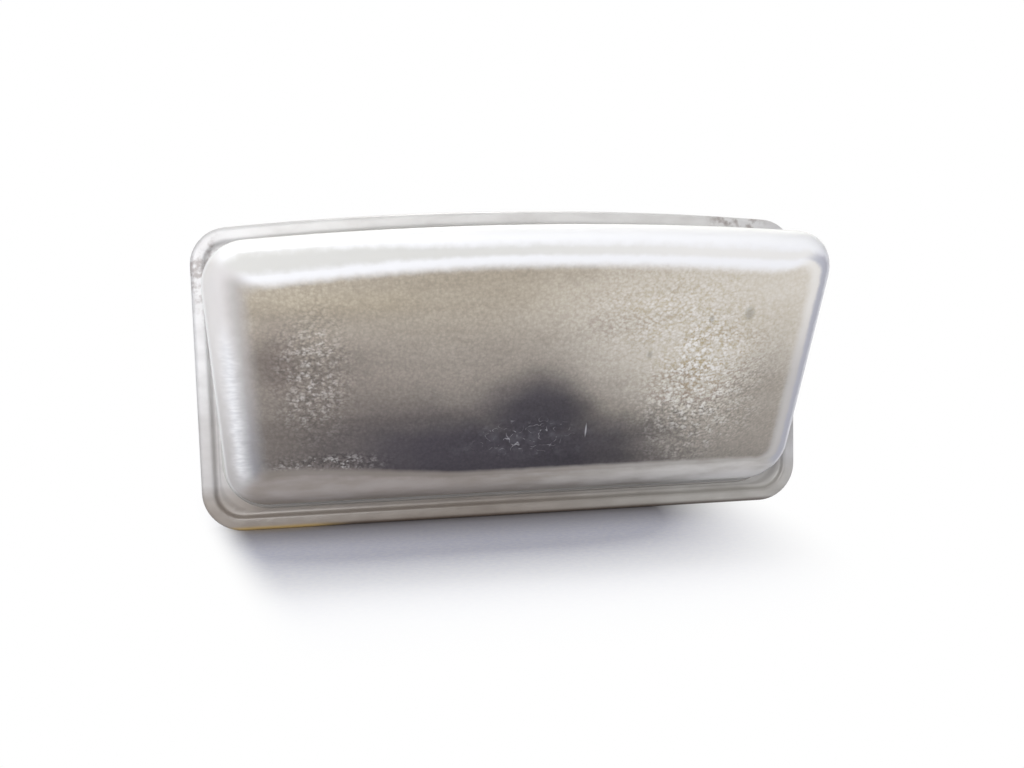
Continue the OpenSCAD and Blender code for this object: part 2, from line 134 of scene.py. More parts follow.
class Paint:
    """The node tree of one finish, with its patterns measured in millimetres.

    Attributes:
        material: The material that is being made.
        place: The point on the piece, in millimetres.
    """

    def __init__(self, name: str) -> None:
        """Starts an empty material.

        Args:
            name: What the finish really is.
        """
        self.material = bpy.data.materials.new(name)
        self.material.use_nodes = True
        self.tree = self.material.node_tree
        self.tree.nodes.clear()
        coords = add_node(self.tree, "ShaderNodeTexCoord").outputs["Object"]
        self.place = self.add("ShaderNodeVectorMath", {"Vector": coords, "Scale": 1 / MM},
                              operation="SCALE")

    def add(self, kind: str, inputs: dict[Any, Any] | None = None, output: Any = 0,
            **settings: Any) -> bpy.types.NodeSocket:
        """Adds a node and returns one of its outputs.

        Args:
            kind: The node's type name.
            inputs: Values or sockets for its inputs.
            output: The name or number of the output that is wanted.
            **settings: The node's own properties.

        Returns:
            The output socket.
        """
        return add_node(self.tree, kind, inputs, **settings).outputs[output]

    def grain(self, size: float, low: float = 0.35, high: float = 0.65, detail: float = 2.0,
              stretch: Sequence[float] = (1, 1, 1), shift: float = 0.0) -> bpy.types.NodeSocket:
        """A cloudy pattern from 0 to 1.

        Args:
            size: The size of one cloud in millimetres.
            low: The raw value that becomes 0.
            high: The raw value that becomes 1.
            detail: How many finer layers are added.
            stretch: How often the pattern repeats along each axis, against the plain one.
            shift: Moves the pattern, so that two of them differ.

        Returns:
            The pattern's socket.
        """
        spot = self.add("ShaderNodeMapping", {"Vector": self.place, "Location": (shift, shift, shift),
                                              "Scale": tuple(s / size for s in stretch)})
        raw = self.add("ShaderNodeTexNoise", {"Vector": spot, "Scale": 1.0, "Detail": detail})
        return self.add("ShaderNodeMapRange", {"Value": raw, "From Min": low, "From Max": high})

    def ridge(self, size: float, width: float, shift: float = 9.0) -> bpy.types.NodeSocket:
        """Thin wandering lines, 1 on the line and 0 beside it.

        Args:
            size: The size of the loops that they make, in millimetres.
            width: How wide they are, as a share of the pattern's height.
            shift: Moves the pattern.

        Returns:
            The lines' socket.
        """
        raw = self.grain(size, 0.0, 1.0, 1.0, shift=shift)
        level = self.add("ShaderNodeMath", {0: raw, 1: 0.5}, operation="SUBTRACT")
        away = self.add("ShaderNodeMath", {0: level}, operation="ABSOLUTE")
        return self.add("ShaderNodeMapRange", {"Value": away, "From Min": width, "From Max": 0.0})

    def ramp(self, value: Any, start: Any, end: Any) -> bpy.types.NodeSocket:
        """A soft step of a value, 0 at the start and 1 at the end."""
        return self.add("ShaderNodeMapRange", {"Value": value, "From Min": start, "From Max": end},
                        interpolation_type="SMOOTHSTEP")

    def patch(self, spot: Spot) -> bpy.types.NodeSocket:
        """The mask of a spot, its share inside and 0 outside.

        Args:
            spot: The spot.

        Returns:
            The mask's socket.
        """
        (x, z), (half_w, half_h) = spot.centre, spot.radii
        place = self.add("ShaderNodeMapping", {
            "Vector": self.place, "Location": (-x / half_w, 0, -z / half_h),
            "Scale": (1 / half_w, 0, 1 / half_h)})
        away = self.add("ShaderNodeVectorMath", {0: place}, operation="ABSOLUTE")
        parts = add_node(self.tree, "ShaderNodeSeparateXYZ", {0: away})
        raised = [self.add("ShaderNodeMath", {0: parts.outputs[axis], 1: spot.power}, operation="POWER")
                  for axis in ("X", "Z")]
        total = self.add("ShaderNodeMath", {0: raised[0], 1: raised[1]}, operation="ADD")
        reach = self.add("ShaderNodeMath", {0: total, 1: 1 / spot.power}, operation="POWER")
        if spot.warp:
            cloud = self.grain(WANDER, 0.0, 1.0, 3.0, shift=x)
            reach = self.add("ShaderNodeMath", {0: cloud, 1: spot.warp * 2, 2: reach},
                             operation="MULTIPLY_ADD")
        mask = self.ramp(reach, 1 + spot.soft + spot.warp, 1 - spot.soft + spot.warp)
        return mask if spot.share == 1 else self.times(mask, spot.share)

    def along(self, axis: str, start: float, end: float) -> bpy.types.NodeSocket:
        """A soft ramp from 0 to 1 along one axis.

        Args:
            axis: X, Y or Z.
            start: Where it is 0, in millimetres.
            end: Where it is 1.

        Returns:
            The ramp's socket.
        """
        return self.ramp(self.add("ShaderNodeSeparateXYZ", {0: self.place}, axis), start, end)

    def band(self, start: float, end: float, soft: float = 0.2,
             name: str = "edge_in") -> bpy.types.NodeSocket:
        """A soft band that follows the edge of the lens.

        Args:
            start: Where it starts.
            end: Where it ends.
            soft: How far it fades at either side.
            name: The attribute that it goes by: edge_in, the millimetres in from the tub's
                outline, or border, which counts the pale bands of the shoulder.

        Returns:
            The mask's socket.
        """
        value = self.add("ShaderNodeAttribute", output="Fac", attribute_name=name)
        return self.times(self.ramp(value, start - soft, start + soft),
                          self.ramp(value, end + soft, end - soft))

    def side(self, x: float, z: float, start: float = 0.35, end: float = 0.9) -> bpy.types.NodeSocket:
        """How far the edge of the lens faces one way, blended round the corners.

        Args:
            x: The X part of that way.
            z: The Z part.
            start: The cosine at which the mask is 0.
            end: The cosine at which it is 1.

        Returns:
            The mask's socket.
        """
        facing = self.add("ShaderNodeAttribute", output="Vector", attribute_name="facing")
        return self.ramp(self.add("ShaderNodeVectorMath", {0: facing, 1: (x, 0, z)}, "Value",
                                  operation="DOT_PRODUCT"), start, end)

    def most(self, *masks: bpy.types.NodeSocket) -> bpy.types.NodeSocket:
        """The greatest of several masks.

        Args:
            *masks: The masks.

        Returns:
            The socket of the greatest.
        """
        result = masks[0]
        for mask in masks[1:]:
            result = self.add("ShaderNodeMath", {0: result, 1: mask}, operation="MAXIMUM")
        return result

    def times(self, first: Any, second: Any) -> bpy.types.NodeSocket:
        """The product of two numbers or sockets."""
        return self.add("ShaderNodeMath", {0: first, 1: second}, operation="MULTIPLY")

    def scaled(self, value: Any, low: float, high: float) -> bpy.types.NodeSocket:
        """A pattern from 0 to 1, scaled to run from one value to another."""
        return self.add("ShaderNodeMapRange", {"Value": value, "To Min": low, "To Max": high})

    def over(self, amount: Any, below: Any, above: Any, blend: str = "MIX") -> bpy.types.NodeSocket:
        """Lays one colour over another.

        Args:
            amount: How much of the upper colour shows, from 0 to 1.
            below: The lower colour, as a hex colour or a socket.
            above: The upper colour.
            blend: Blender's name for the way that they mix.

        Returns:
            The mixed colour's socket.
        """
        return self.add("ShaderNodeMix", {0: amount, 6: below, 7: above}, output=2, data_type="RGBA",
                        blend_type=blend)

    def relief(self, height: Any, depth: float, strength: float) -> bpy.types.NodeSocket:
        """Turns a pattern into fine relief.

        Args:
            height: The pattern, from 0 to 1.
            depth: How deep it is, in millimetres.
            strength: How much of it shows.

        Returns:
            The normal's socket.
        """
        return self.add("ShaderNodeBump", {"Strength": strength, "Distance": depth * MM, "Height": height})

    def finish(self, **sockets: Any) -> bpy.types.Material:
        """Closes the material with its shader.

        Args:
            **sockets: Inputs of the Principled shader, with an underscore for a space.

        Returns:
            The finished material.
        """
        inputs = {key.replace("_", " "): value for key, value in sockets.items()}
        shader = self.add("ShaderNodeBsdfPrincipled", inputs)
        add_node(self.tree, "ShaderNodeOutputMaterial", {"Surface": shader})
        return self.material


# Finishes

@dataclass(frozen=True)
class Pebbles:
    """The spark-eroded pebbles of the lens, and where painted glints show on them beside the bulb.

    Attributes:
        cell: The size of a pebble in millimetres.
        drift: How far the pebbles stray from round, in millimetres.
        fine: The size of the grain on them in millimetres.
        fine_share: How much of the height that grain makes.
        glints: Where the pebbles catch the light, painted on them as glints.
    """

    cell: float = 0.5
    drift: float = 0.6
    fine: float = 0.24
    fine_share: float = 0.4
    glints: tuple[Spot, ...] = (
        Spot((-24.3, 1.2), (3.4, 6.5), 0.9, 0.5, 0.6),      # left of the bulb
        Spot((-23, -9.6), (5.5, 1.1), 0.8, 0.4, 0.75),      # low on the left
        Spot((21.5, -1), (6, 8.5), 0.8, 0.5, 0.8),          # right of the bulb
        Spot((20.5, 0.5), (2.8, 6), 0.9, 0.6),              # the heart of that one
        Spot((17, 7), (8, 3.5), 0.8, 0.4, 0.5))             # high on the right

    def domes(self, paint: Paint, turn: float = 0.0, flatten: float = 1.3) -> bpy.types.NodeSocket:
        """The height of the pebbles, from 0 between them to 1 on top.

        Args:
            paint: The material's paint.
            turn: How far the pebbles lean, in degrees.
            flatten: How much longer they are than they are high.

        Returns:
            The pattern's socket.
        """
        stray = paint.add("ShaderNodeTexNoise", {"Vector": paint.place, "Scale": 1.1, "Detail": 1.0}, "Color")
        spot = paint.add("ShaderNodeVectorMath", {0: stray, 1: (self.drift,) * 3, 2: paint.place},
                         operation="MULTIPLY_ADD")
        spot = paint.add("ShaderNodeMapping", {"Vector": spot, "Rotation": (0, math.radians(turn), 0)})
        scale = (1 / self.cell, 1 / self.cell, flatten / self.cell)
        spot = paint.add("ShaderNodeVectorMath", {0: spot, 1: scale}, operation="MULTIPLY")
        distance = paint.add("ShaderNodeTexVoronoi", {"Vector": spot, "Scale": 1.0, "Smoothness": 0.45},
                             feature="SMOOTH_F1")
        domes = paint.add("ShaderNodeMapRange", {"Value": distance, "From Min": 0.72, "From Max": 0.12})
        fine = paint.grain(self.fine, 0.28, 0.72, 1.0)
        return paint.add("ShaderNodeMath", {0: fine, 1: self.fine_share,
                                            2: paint.times(domes, 1 - self.fine_share)},
                         operation="MULTIPLY_ADD")

    def clusters(self, paint: Paint) -> bpy.types.NodeSocket:
        """Where the pebbles catch the light, as one mask."""
        return paint.most(*[paint.patch(spot) for spot in self.glints])


@dataclass(frozen=True)
class FoggedFace:
    """The outer face of the lens: clear polycarbonate under a film of age and road dirt.

    The film is dull silver, beige at the top; its darkening towards the bottom and a slate patch
    low in the middle are painted shade, and the pebbles' glints beside the bulb are painted highlights.
    Round the edge the thick shoulder shows three pale bands of painted highlight and shade.
    Where a band has two shades, they run from its high or left end to its low or right end.
    """

    silver: str = "#9C9489"
    low_grey: str = "#847E78"
    beige: str = "#B5AB99"
    slate: str = "#423E45"
    smoke: str = "#7C7B82"
    streaks: Shades = ("#84807A", "#E2DED8")
    # painted shade in the pebbles' valleys and painted highlight on their domes
    valley_shade_and_dome_highlight: Shades = ("#565656", "#FFFFFF")
    hairs: Shades = ("#A0A0A0", "#D2D2D2")
    # the painted glints on the pebbles
    spark: str = "#FBF9F4"
    # the shoulder's pale bands, painted highlight and shade
    white: str = "#FDFDFC"
    outer_right: str = "#F4F4F7"
    outer_left: Shades = ("#DCD9D5", "#BAB6B3")
    outer_low: Shades = ("#B0A8A1", "#BFBDB7")
    middle_top: Shades = ("#E0DFD8", "#F2F0EA")
    middle_right: str = "#BEBEC6"
    middle_left: Shades = ("#E2DEDA", "#B8B4B2")
    middle_low: Shades = ("#B5ADA7", "#DFDCD7")
    ribbed: str = "#BFC0C3"
    inner_right: Shades = ("#EFEBE2", "#CCC8C3")
    inner_left: Shades = ("#BDB8B3", "#9B9A9D")
    inner_low: Shades = ("#9C948D", "#C9C5BF")
    smudge: str = "#8B8174"
    # a painted highlight low on the right
    gleam: str = "#F0EEEC"
    scratch: str = "#C9C6CA"
    fleck: str = "#D9D7D9"
    chip: str = "#85806F"
    stains: tuple[tuple[str, Spot], ...] = (
        ("#C8B997", Spot((-21, 9.5), (8, 1.2), 0.9, 0.4, 0.18)),     # straw, high on the left
        ("#7D746D", Spot((-24, -3), (11, 8.5), 0.7, 0.3, 0.55)),     # brown, on the left
        ("#756963", Spot((-28, 3.5), (2.2, 3.5), 0.9, 0.5, 0.6)),    # darker in the left corner
        ("#DAD3C5", Spot((26, 6.5), (18, 13), 0.7, 0.2, 0.95)),      # pale, high on the right
        ("#9C9489", Spot((30, -5), (5, 7), 0.8, 0.2, 0.65)),         # painted shade, silver, under that
        ("#423E45", Spot((-6.5, -8), (17, 6.5), 0.7, 0.25, 0.55)))   # the fringe of the slate patch of painted shade
    dark_patch_shade: tuple[Spot, ...] = (Spot((-2.5, -9.6), (17.5, 4.6), 0.55, 0.25, power=3.0),
                                Spot((2, -5), (6, 5.5), 0.55, 0.25))
    hazed: Spot = Spot((3, -7.5), (8, 2.2), 0.8, 0.4)
    lit_edge: Spot = Spot((28, -14.2), (6, 0.8), 0.8, 0.2)
    scratched: Spot = Spot((0.3, -7.3), (5.0, 2.0), 0.6, 0.5)
    fleck_spot: Spot = Spot((7.9, -6.7), (0.09, 0.7), 0.6, share=0.6)
    chip_spots: tuple[Spot, ...] = (Spot((25.9, 7.0), (0.5, 0.65), 0.6, 0.2),
                                    Spot((21.4, 6.5), (0.3, 0.39), 0.6, 0.2),
                                    Spot((14.6, 2.5), (0.3, 0.39), 0.6, 0.2))
    pebbles: Pebbles = Pebbles()

    def tones(self, paint: Paint) -> bpy.types.NodeSocket:
        """Mixes the colours inside the pale bands, darker towards the bottom and in the slate patch as
        painted shade.

        Args:
            paint: The material's paint.

        Returns:
            The colour's socket.
        """
        # darker towards the bottom: painted shade
        colour = paint.over(paint.along("Z", -12, 3), self.low_grey, self.silver)
        colour = paint.over(paint.along("Z", 2, 11), colour, self.beige)
        for tint, spot in self.stains:
            colour = paint.over(paint.patch(spot), colour, tint)
        # the slate patch low in the middle: painted shade
        dark_patch_shade = paint.most(*[paint.patch(spot) for spot in self.dark_patch_shade])
        colour = paint.over(paint.times(dark_patch_shade, 0.93), colour, self.slate)
        smoke = paint.times(paint.patch(self.hazed), paint.grain(1.3, 0.45, 0.7, 3.0, shift=3.0))
        colour = paint.over(paint.times(smoke, 0.35), colour, self.smoke)
        streaks = paint.grain(6.0, 0.35, 0.65, 3.0, stretch=(0.25, 1, 1.2), shift=4.0)
        return paint.over(0.4, colour, paint.over(streaks, *self.streaks), "SOFT_LIGHT")

    def bands(self, paint: Paint, colour: bpy.types.NodeSocket) -> bpy.types.NodeSocket:
        """Lays the pale bands of the shoulder, painted highlight and shade, over the colours of the face.

        Args:
            paint: The material's paint.
            colour: The colours inside the bands.

        Returns:
            The colour with its bands.
        """
        right, left, low = paint.side(1, 0), paint.side(-1, 0), paint.side(0, -1)
        eastward, falling = paint.along("X", -12, 26), paint.along("Z", 6, -12)
        # the outer band: painted highlight, white at the top and the right, grey on the left with a painted
        # bright line along its rim, and painted shade along the bottom
        rim = paint.band(-0.6, 0.25, 0.3)
        outer = paint.over(right, self.white, self.outer_right)
        outer = paint.over(left, outer, paint.over(rim, paint.over(falling, *self.outer_left), self.white))
        outer = paint.over(low, outer, paint.over(eastward, *self.outer_low))
        # the middle band: cream at the top, painted lavender shade on the right, a ribbed painted highlight
        # streak on the left and painted shade along the bottom
        ribs = paint.times(paint.grain(0.3, 0.35, 0.65, 1.0, stretch=(0.3, 0.3, 1)), paint.along("Z", 8, 3))
        middle = paint.over(right, paint.over(eastward, *self.middle_top), self.middle_right)
        streak = paint.over(paint.along("Z", 9, 3), self.middle_left[0], self.white)
        streak = paint.over(paint.times(ribs, 0.35), streak, self.ribbed)
        streak = paint.over(paint.times(paint.along("Z", -9.5, -12), 0.8), streak, self.middle_left[1])
        middle = paint.over(left, middle, streak)
        middle = paint.over(low, middle, paint.over(eastward, *self.middle_low))
        # the inner line: a painted highlight, white at the top, paler on the right, darker on the left and
        # along the bottom
        inner = paint.over(right, self.white, paint.over(paint.along("Z", 9, -2), *self.inner_right))
        inner = paint.over(left, inner, paint.over(falling, *self.inner_left))
        inner = paint.over(low, inner, paint.over(eastward, *self.inner_low))
        # each is laid where the count of the bands, which wanders a little, is below its end
        count = paint.add("ShaderNodeAttribute", output="Fac", attribute_name="border")
        count = paint.add("ShaderNodeMath", {0: paint.grain(1.4, 0.2, 0.8, 3.0, shift=8.0), 1: 0.3, 2: count},
                          operation="MULTIPLY_ADD")
        for band, end, soft, more in ((inner, 3.35, 0.65, 0.25), (middle, 2.15, 0.3, 0.5),
                                      (outer, 1.15, 0.3, 0.25)):
            colour = paint.over(self.inside(paint, count, end, left, soft, more), colour, band)
        smudges = paint.grain(2.2, 0.35, 0.7, 4.0, stretch=(0.4, 1, 1.5), shift=6.0)
        smudges = paint.times(paint.times(smudges, low), paint.band(-9, 3.3, 0.3, "border"))
        colour = paint.over(paint.times(smudges, 0.5), colour, self.smudge)
        # a painted highlight along the lower right edge
        gleam = paint.times(paint.patch(self.lit_edge), low)
        return paint.over(paint.times(gleam, 0.6), colour, self.gleam)

    def inside(self, paint: Paint, count: Any, end: float, left: Any, soft: float,
               more: float) -> bpy.types.NodeSocket:
        """Where the count of the bands is below a value, with an edge that is softer on the left.

        Args:
            paint: The material's paint.
            count: The count's socket.
            end: The value.
            left: The mask of the left side.
            soft: How far the edge fades elsewhere, either way.
            more: How much further it fades on the left.

        Returns:
            The mask's socket.
        """
        reach = paint.add("ShaderNodeMath", {0: left, 1: more, 2: soft}, operation="MULTIPLY_ADD")
        start, stop = (paint.add("ShaderNodeMath", {0: end, 1: reach}, operation=way)
                       for way in ("SUBTRACT", "ADD"))
        return paint.ramp(count, stop, start)

    def marks(self, paint: Paint, colour: bpy.types.NodeSocket) -> bpy.types.NodeSocket:
        """Adds the scratches and stone chips of use.

        Args:
            paint: The material's paint.
            colour: The colours under them.

        Returns:
            The marked colour.
        """
        lines = paint.times(paint.ridge(1.3, 0.02), paint.grain(0.6, 0.45, 0.6, 1.0, shift=5.0))
        lines = paint.times(lines, paint.patch(self.scratched))
        colour = paint.over(paint.times(lines, 0.65), colour, self.scratch)
        colour = paint.over(paint.patch(self.fleck_spot), colour, self.fleck)
        chips = paint.most(*[paint.patch(spot) for spot in self.chip_spots])
        return paint.over(paint.times(chips, 0.5), colour, self.chip)

    def material(self) -> bpy.types.Material:
        """Makes the face's material.

        Returns:
            The material.
        """
        # to the eye: glass-like gloss over a milky silver, with pebbles that glint beside the bulb in painted
        # highlights
        paint = Paint("polycarbonate_face_fogged")
        # low on the right the pebbles lean with the lens's corner
        leaning = paint.times(paint.along("X", 21, 27), paint.along("Z", 5, 0))
        domes = paint.over(leaning, self.pebbles.domes(paint), self.pebbles.domes(paint, 32.0, 2.0))
        glints = self.pebbles.clusters(paint)
        # the overlay paints shade in the pebbles' valleys and highlights on their domes, strongest where they
        # glint
        fine = paint.add("ShaderNodeMath", {0: glints, 1: 0.74, 2: 0.16}, operation="MULTIPLY_ADD")
        colour = paint.over(fine, self.tones(paint), paint.over(domes, *self.valley_shade_and_dome_highlight), "OVERLAY")
        hairs = paint.grain(0.3, 0.3, 0.7, 2.0, stretch=(1, 1, 0.12))
        colour = paint.over(0.25, colour, paint.over(hairs, *self.hairs), "OVERLAY")
        # painted glints on the domes where the pebbles catch the light
        patchy = paint.times(domes, paint.grain(1.0, 0.38, 0.62, 2.0, shift=2.0))
        sparks = paint.add("ShaderNodeMapRange", {"Value": patchy, "From Min": 0.2, "From Max": 0.65})
        sparks = paint.times(sparks, paint.times(paint.times(glints, glints), 0.95))
        colour = self.bands(paint, self.marks(paint, paint.over(sparks, colour, self.spark)))
        inside = paint.band(3.2, 99, 0.5, "border")
        return paint.finish(
            Base_Color=colour, Roughness=0.24,
            Normal=paint.relief(paint.times(paint.times(domes, fine), inside), 0.12, 0.8),
            IOR=POLYCARBONATE, Transmission_Weight=0.2)


@dataclass(frozen=True)
class ClearWall:
    """Clear polycarbonate from a polished mould, the outer walls of the lens.

    It has aged: hairline scratches and a thin film dull its gloss and warm it a little.
    """

    tint: str = "#F7F6F2"
    film: str = "#E3E0D6"
    dirt: str = "#7A6E62"
    dirt_and_shade_shares: Shades = ("#303030", "#D0D0D0")

    def material(self) -> bpy.types.Material:
        """Makes the wall's material.

        Returns:
            The material.
        """
        # to the eye: a glossy, half clear wall with a line of dirt and painted shade at its foot, darker
        # along the bottom
        paint = Paint("polycarbonate_wall_polished_aged")
        film = paint.grain(6.0, 0.45, 0.75, 4.0)
        hairlines = paint.grain(0.8, 0.3, 0.7, 3.0, stretch=(1, 0.12, 1))
        # dirt and painted shade in the crease at the tub's foot, strongest along the bottom
        crease = paint.times(paint.band(-9, -0.75, 0.3), paint.over(paint.side(0, -1), *self.dirt_and_shade_shares))
        colour = paint.over(paint.times(film, 0.35), self.tint, self.film)
        return paint.finish(
            Base_Color=paint.over(crease, colour, self.dirt),
            Roughness=0.14, Normal=paint.relief(hairlines, 0.01, 0.35),
            IOR=POLYCARBONATE, Transmission_Weight=0.55)


@dataclass(frozen=True)
class StippledOptics:
    """The inner face of the lens, spark-eroded to scatter the bulb's light."""

    milk: str = "#F0EEE8"
    shade: str = "#BDB8B0"
    pebbles: Pebbles = Pebbles()

    def material(self) -> bpy.types.Material:
        """Makes the inner face's material.

        Returns:
            The material.
        """
        # to the eye: milky pebbles that break up the light, with painted shade between them
        paint = Paint("polycarbonate_spark_stippled")
        return paint.finish(
            Base_Color=paint.over(self.pebbles.domes(paint), self.shade, self.milk),
            Roughness=0.3, Normal=paint.relief(paint.grain(0.35, 0.2, 0.8, 2.0), 0.05, 0.5),
            IOR=POLYCARBONATE, Transmission_Weight=0.25)


@dataclass(frozen=True)
class DrawnWall:
    """The inner side walls of the lens, as they come off the core."""

    milk: str = "#FAF9F4"
    shade: str = "#E4E2DB"

    def material(self) -> bpy.types.Material:
        """Makes the inner wall's material.

        Returns:
            The material.
        """
        # to the eye: a milky film that hides what lies behind, with draw marks towards the opening
        paint = Paint("polycarbonate_core_drawn_milky")
        marks = paint.grain(0.6, 0.35, 0.65, 2.0, stretch=(1, 0.06, 1))
        return paint.finish(
            Base_Color=paint.over(paint.times(marks, 0.5), self.milk, self.shade),
            Roughness=0.3, Normal=paint.relief(marks, 0.03, 0.5),
            IOR=POLYCARBONATE, Transmission_Weight=0.12)


@dataclass(frozen=True)
class HazedFlange:
    """The flange of the lens, matt from road film, with brown dirt in its corners.

    Its lower part is browner and darker, part road dirt and part painted shade under the tub, and its colours
    there run from its left end to its right end. Dark lines along its rim's step are painted shade, and its
    sole carries a painted contact shadow with a painted amber glow at its left end.
    """

    haze: str = "#E2E1E1"
    low_haze: Shades = ("#A39A92", "#C3C0BB")
    mottle: str = "#C6C3C2"
    low_mottle: Shades = ("#857A71", "#9E9992")
    shade: str = "#B9B8B9"
    low_shade: Shades = ("#7A7068", "#8E8983")
    brown: str = "#7B6B66"
    contact_shadow_and_amber_glow: Shades = ("#54463C", "#C6A868")
    corner: Spot = Spot((-37, 13), (3.0, 4.5), 0.5, 0.5)
    ledge: Spot = Spot((31, 19), (3.5, 2.0), 0.4, 0.4)

    def material(self) -> bpy.types.Material:
        """Makes the flange's material.

        Returns:
            The material.
        """
        # to the eye: pale grey haze in streaks, browner below from dirt and painted shade, with dirt beside
        # the raised rim and painted shade along its step
        paint = Paint("polycarbonate_flange_road_film")
        # darker and browner below: part dirt, part painted shade under the tub
        low = paint.most(paint.along("Z", -11, -15.5), paint.times(paint.along("Z", 4, -8), 0.35))
        clouds = paint.grain(2.0, 0.4, 0.7, 5.0, stretch=(0.4, 1, 1))
        east = paint.along("X", -5, 30)
        haze, mottle, shade = (
            paint.over(low, high, paint.over(east, *below))
            for high, below in ((self.haze, self.low_haze), (self.mottle, self.low_mottle),
                                (self.shade, self.low_shade)))
        colour = paint.over(paint.times(clouds, 0.55), haze, mottle)
        # painted shade: dark lines on the rim's inner slope and round the flange's outer edge
        step = paint.most(paint.band(-0.35, 0.2, 0.2), paint.band(-1.75, -1.5, 0.12))
        colour = paint.over(paint.times(step, 0.5), colour, shade)
        specks = paint.grain(0.9, 0.45, 0.65, 3.0, shift=7.0)
        dirty = paint.most(paint.patch(self.corner), paint.patch(self.ledge))
        colour = paint.over(paint.times(dirty, paint.times(specks, 0.7)), colour, self.brown)
        # the sole rests on the floor: a painted contact shadow, with a painted amber glow of light through
        # the plastic at its left end
        sole_contact_shadow = paint.along("Z", -18.0, -18.5)
        colour = paint.over(paint.times(sole_contact_shadow, 0.85), colour,
                            paint.over(paint.along("X", -20, -27), *self.contact_shadow_and_amber_glow))
        return paint.finish(
            Base_Color=colour, Roughness=0.35, Normal=paint.relief(specks, 0.03, 0.4),
            IOR=POLYCARBONATE, Transmission_Weight=0.2)


@dataclass(frozen=True)
class MouldedPlastic:
    """An opaque moulded plastic with a spark-eroded grain and a little dust.

    Real grain is finer than a tenth of a millimetre. It is drawn coarser, so that it shows.

    Attributes:
        name: What the plastic is and how it was made.
        colour: Its own colour.
        dust: The colour of the dust on it.
        grain: The size of its grain in millimetres.
        dusty: How much dust shows.
        roughness: Its roughness between the dust.
        dusty_roughness: Its roughness under the dust.
    """

    name: str
    colour: str
    dust: str
    grain: float = 0.35
    dusty: float = 0.3
    roughness: float = 0.45
    dusty_roughness: float = 0.85

    def material(self) -> bpy.types.Material:
        """Makes the plastic's material.

        Returns:
            The material.
        """
        paint = Paint(self.name)
        fine = paint.grain(self.grain, 0.3, 0.7, 2.0)
        dust = paint.times(paint.grain(9.0, 0.4, 0.75, 5.0), paint.grain(0.5, 0.3, 0.6))
        dust = paint.times(dust, self.dusty)
        scuffs = paint.times(paint.ridge(7.0, 0.006), paint.grain(3.0, 0.5, 0.6, 2.0, shift=2.0))
        colour = paint.over(paint.times(fine, 0.1), self.colour, self.dust)
        colour = paint.over(dust, colour, self.dust)
        return paint.finish(
            Base_Color=paint.over(paint.times(scuffs, 0.35), colour, self.dust),
            Roughness=paint.scaled(dust, self.roughness, self.dusty_roughness),
            Normal=paint.relief(fine, 0.04, 0.6))


@dataclass(frozen=True)
class AgedReflector:
    """Vacuum-metallised plastic whose bright coat has dulled and browned."""

    bright: str = "#C9C4BA"
    dull: str = "#8F877C"

    def material(self) -> bpy.types.Material:
        """Makes the reflector's material.

        Returns:
            The material.
        """
        # to the eye: a warm silver that mirrors softly, with duller brown clouds
        paint = Paint("aluminium_coat_on_plastic_tarnished")
        tarnish = paint.grain(5.0, 0.35, 0.7, 4.0)
        return paint.finish(
            Base_Color=paint.over(tarnish, self.bright, self.dull), Metallic=0.85,
            Roughness=paint.scaled(tarnish, 0.28, 0.55),
            Normal=paint.relief(paint.grain(0.8), 0.02, 0.4))


@dataclass(frozen=True)
class BareMetal:
    """A small bare metal part with a drawn or rolled surface.

    Its drawn lines are a few hundredths of a millimetre apart in truth, and drawn coarser here.

    Attributes:
        name: What the metal is and how it was made.
        colour: Its colour.
        stain: The colour of its stains.
        roughness: Its roughness where it is clean.
        stained: How much rougher its stains are.
        along: How the grain is stretched along X, Y and Z.
    """

    name: str
    colour: str
    stain: str
    roughness: float = 0.3
    stained: float = 0.3
    along: tuple[float, float, float] = (1, 0.1, 1)

    def material(self) -> bpy.types.Material:
        """Makes the metal's material.

        Returns:
            The material.
        """
        paint = Paint(self.name)
        lines = paint.grain(0.3, 0.3, 0.7, 2.0, stretch=self.along)
        stain = paint.grain(1.8, 0.5, 0.75, 3.0)
        return paint.finish(
            Base_Color=paint.over(paint.times(stain, 0.7), self.colour, self.stain), Metallic=1.0,
            Roughness=paint.scaled(stain, self.roughness, self.roughness + self.stained),
            Normal=paint.relief(lines, 0.01, 0.4))


@dataclass(frozen=True)
class SoftSheet:
    """A soft, matt sheet or moulding with small pores.

    Attributes:
        name: What it is made of and how.
        colour: Its colour.
        worn: The paler colour of its rubbed skin.
        pore: The size of a pore in millimetres.
    """

    name: str
    colour: str
    worn: str
    pore: float = 0.3

    def material(self) -> bpy.types.Material:
        """Makes the material.

        Returns:
            The material.
        """
        paint = Paint(self.name)
        pores = paint.add("ShaderNodeTexVoronoi", {"Vector": paint.place, "Scale": 1 / self.pore})
        return paint.finish(
            Base_Color=paint.over(paint.times(paint.grain(1.5, 0.4, 0.7), 0.6), self.colour, self.worn),
            Roughness=0.85, Normal=paint.relief(pores, 0.08, 0.6))


@dataclass(frozen=True)
class BulbGlass:
    """Blown soda-lime glass, a little smoked inside by the filament."""

    clear: str = "#F2F2EE"
    smoke: str = "#A9A49C"

    def material(self) -> bpy.types.Material:
        """Makes the bulb's glass.

        Returns:
            The material.
        """
        # to the eye: clear and glossy, greyer towards its tip
        paint = Paint("soda_lime_glass_blown")
        return paint.finish(Base_Color=paint.over(paint.along("Y", 2, -6), self.clear, self.smoke),
                            Roughness=0.02, IOR=1.52, Transmission_Weight=1.0)


# Shapes

def arc(centre: Point, radius: float, start: float, end: float, steps: int) -> list[Point]:
    """Points along an arc, its angles in degrees and both ends included."""
    turns = [math.radians(start + (end - start) * i / steps) for i in range(steps + 1)]
    return [(centre[0] + radius * math.cos(t), centre[1] + radius * math.sin(t)) for t in turns]


def between(start: Point, end: Point, steps: int) -> list[Point]:
    """The points that divide a straight stretch, without its two ends."""
    return [(start[0] + (end[0] - start[0]) * i / steps, start[1] + (end[1] - start[1]) * i / steps)
            for i in range(1, steps)]


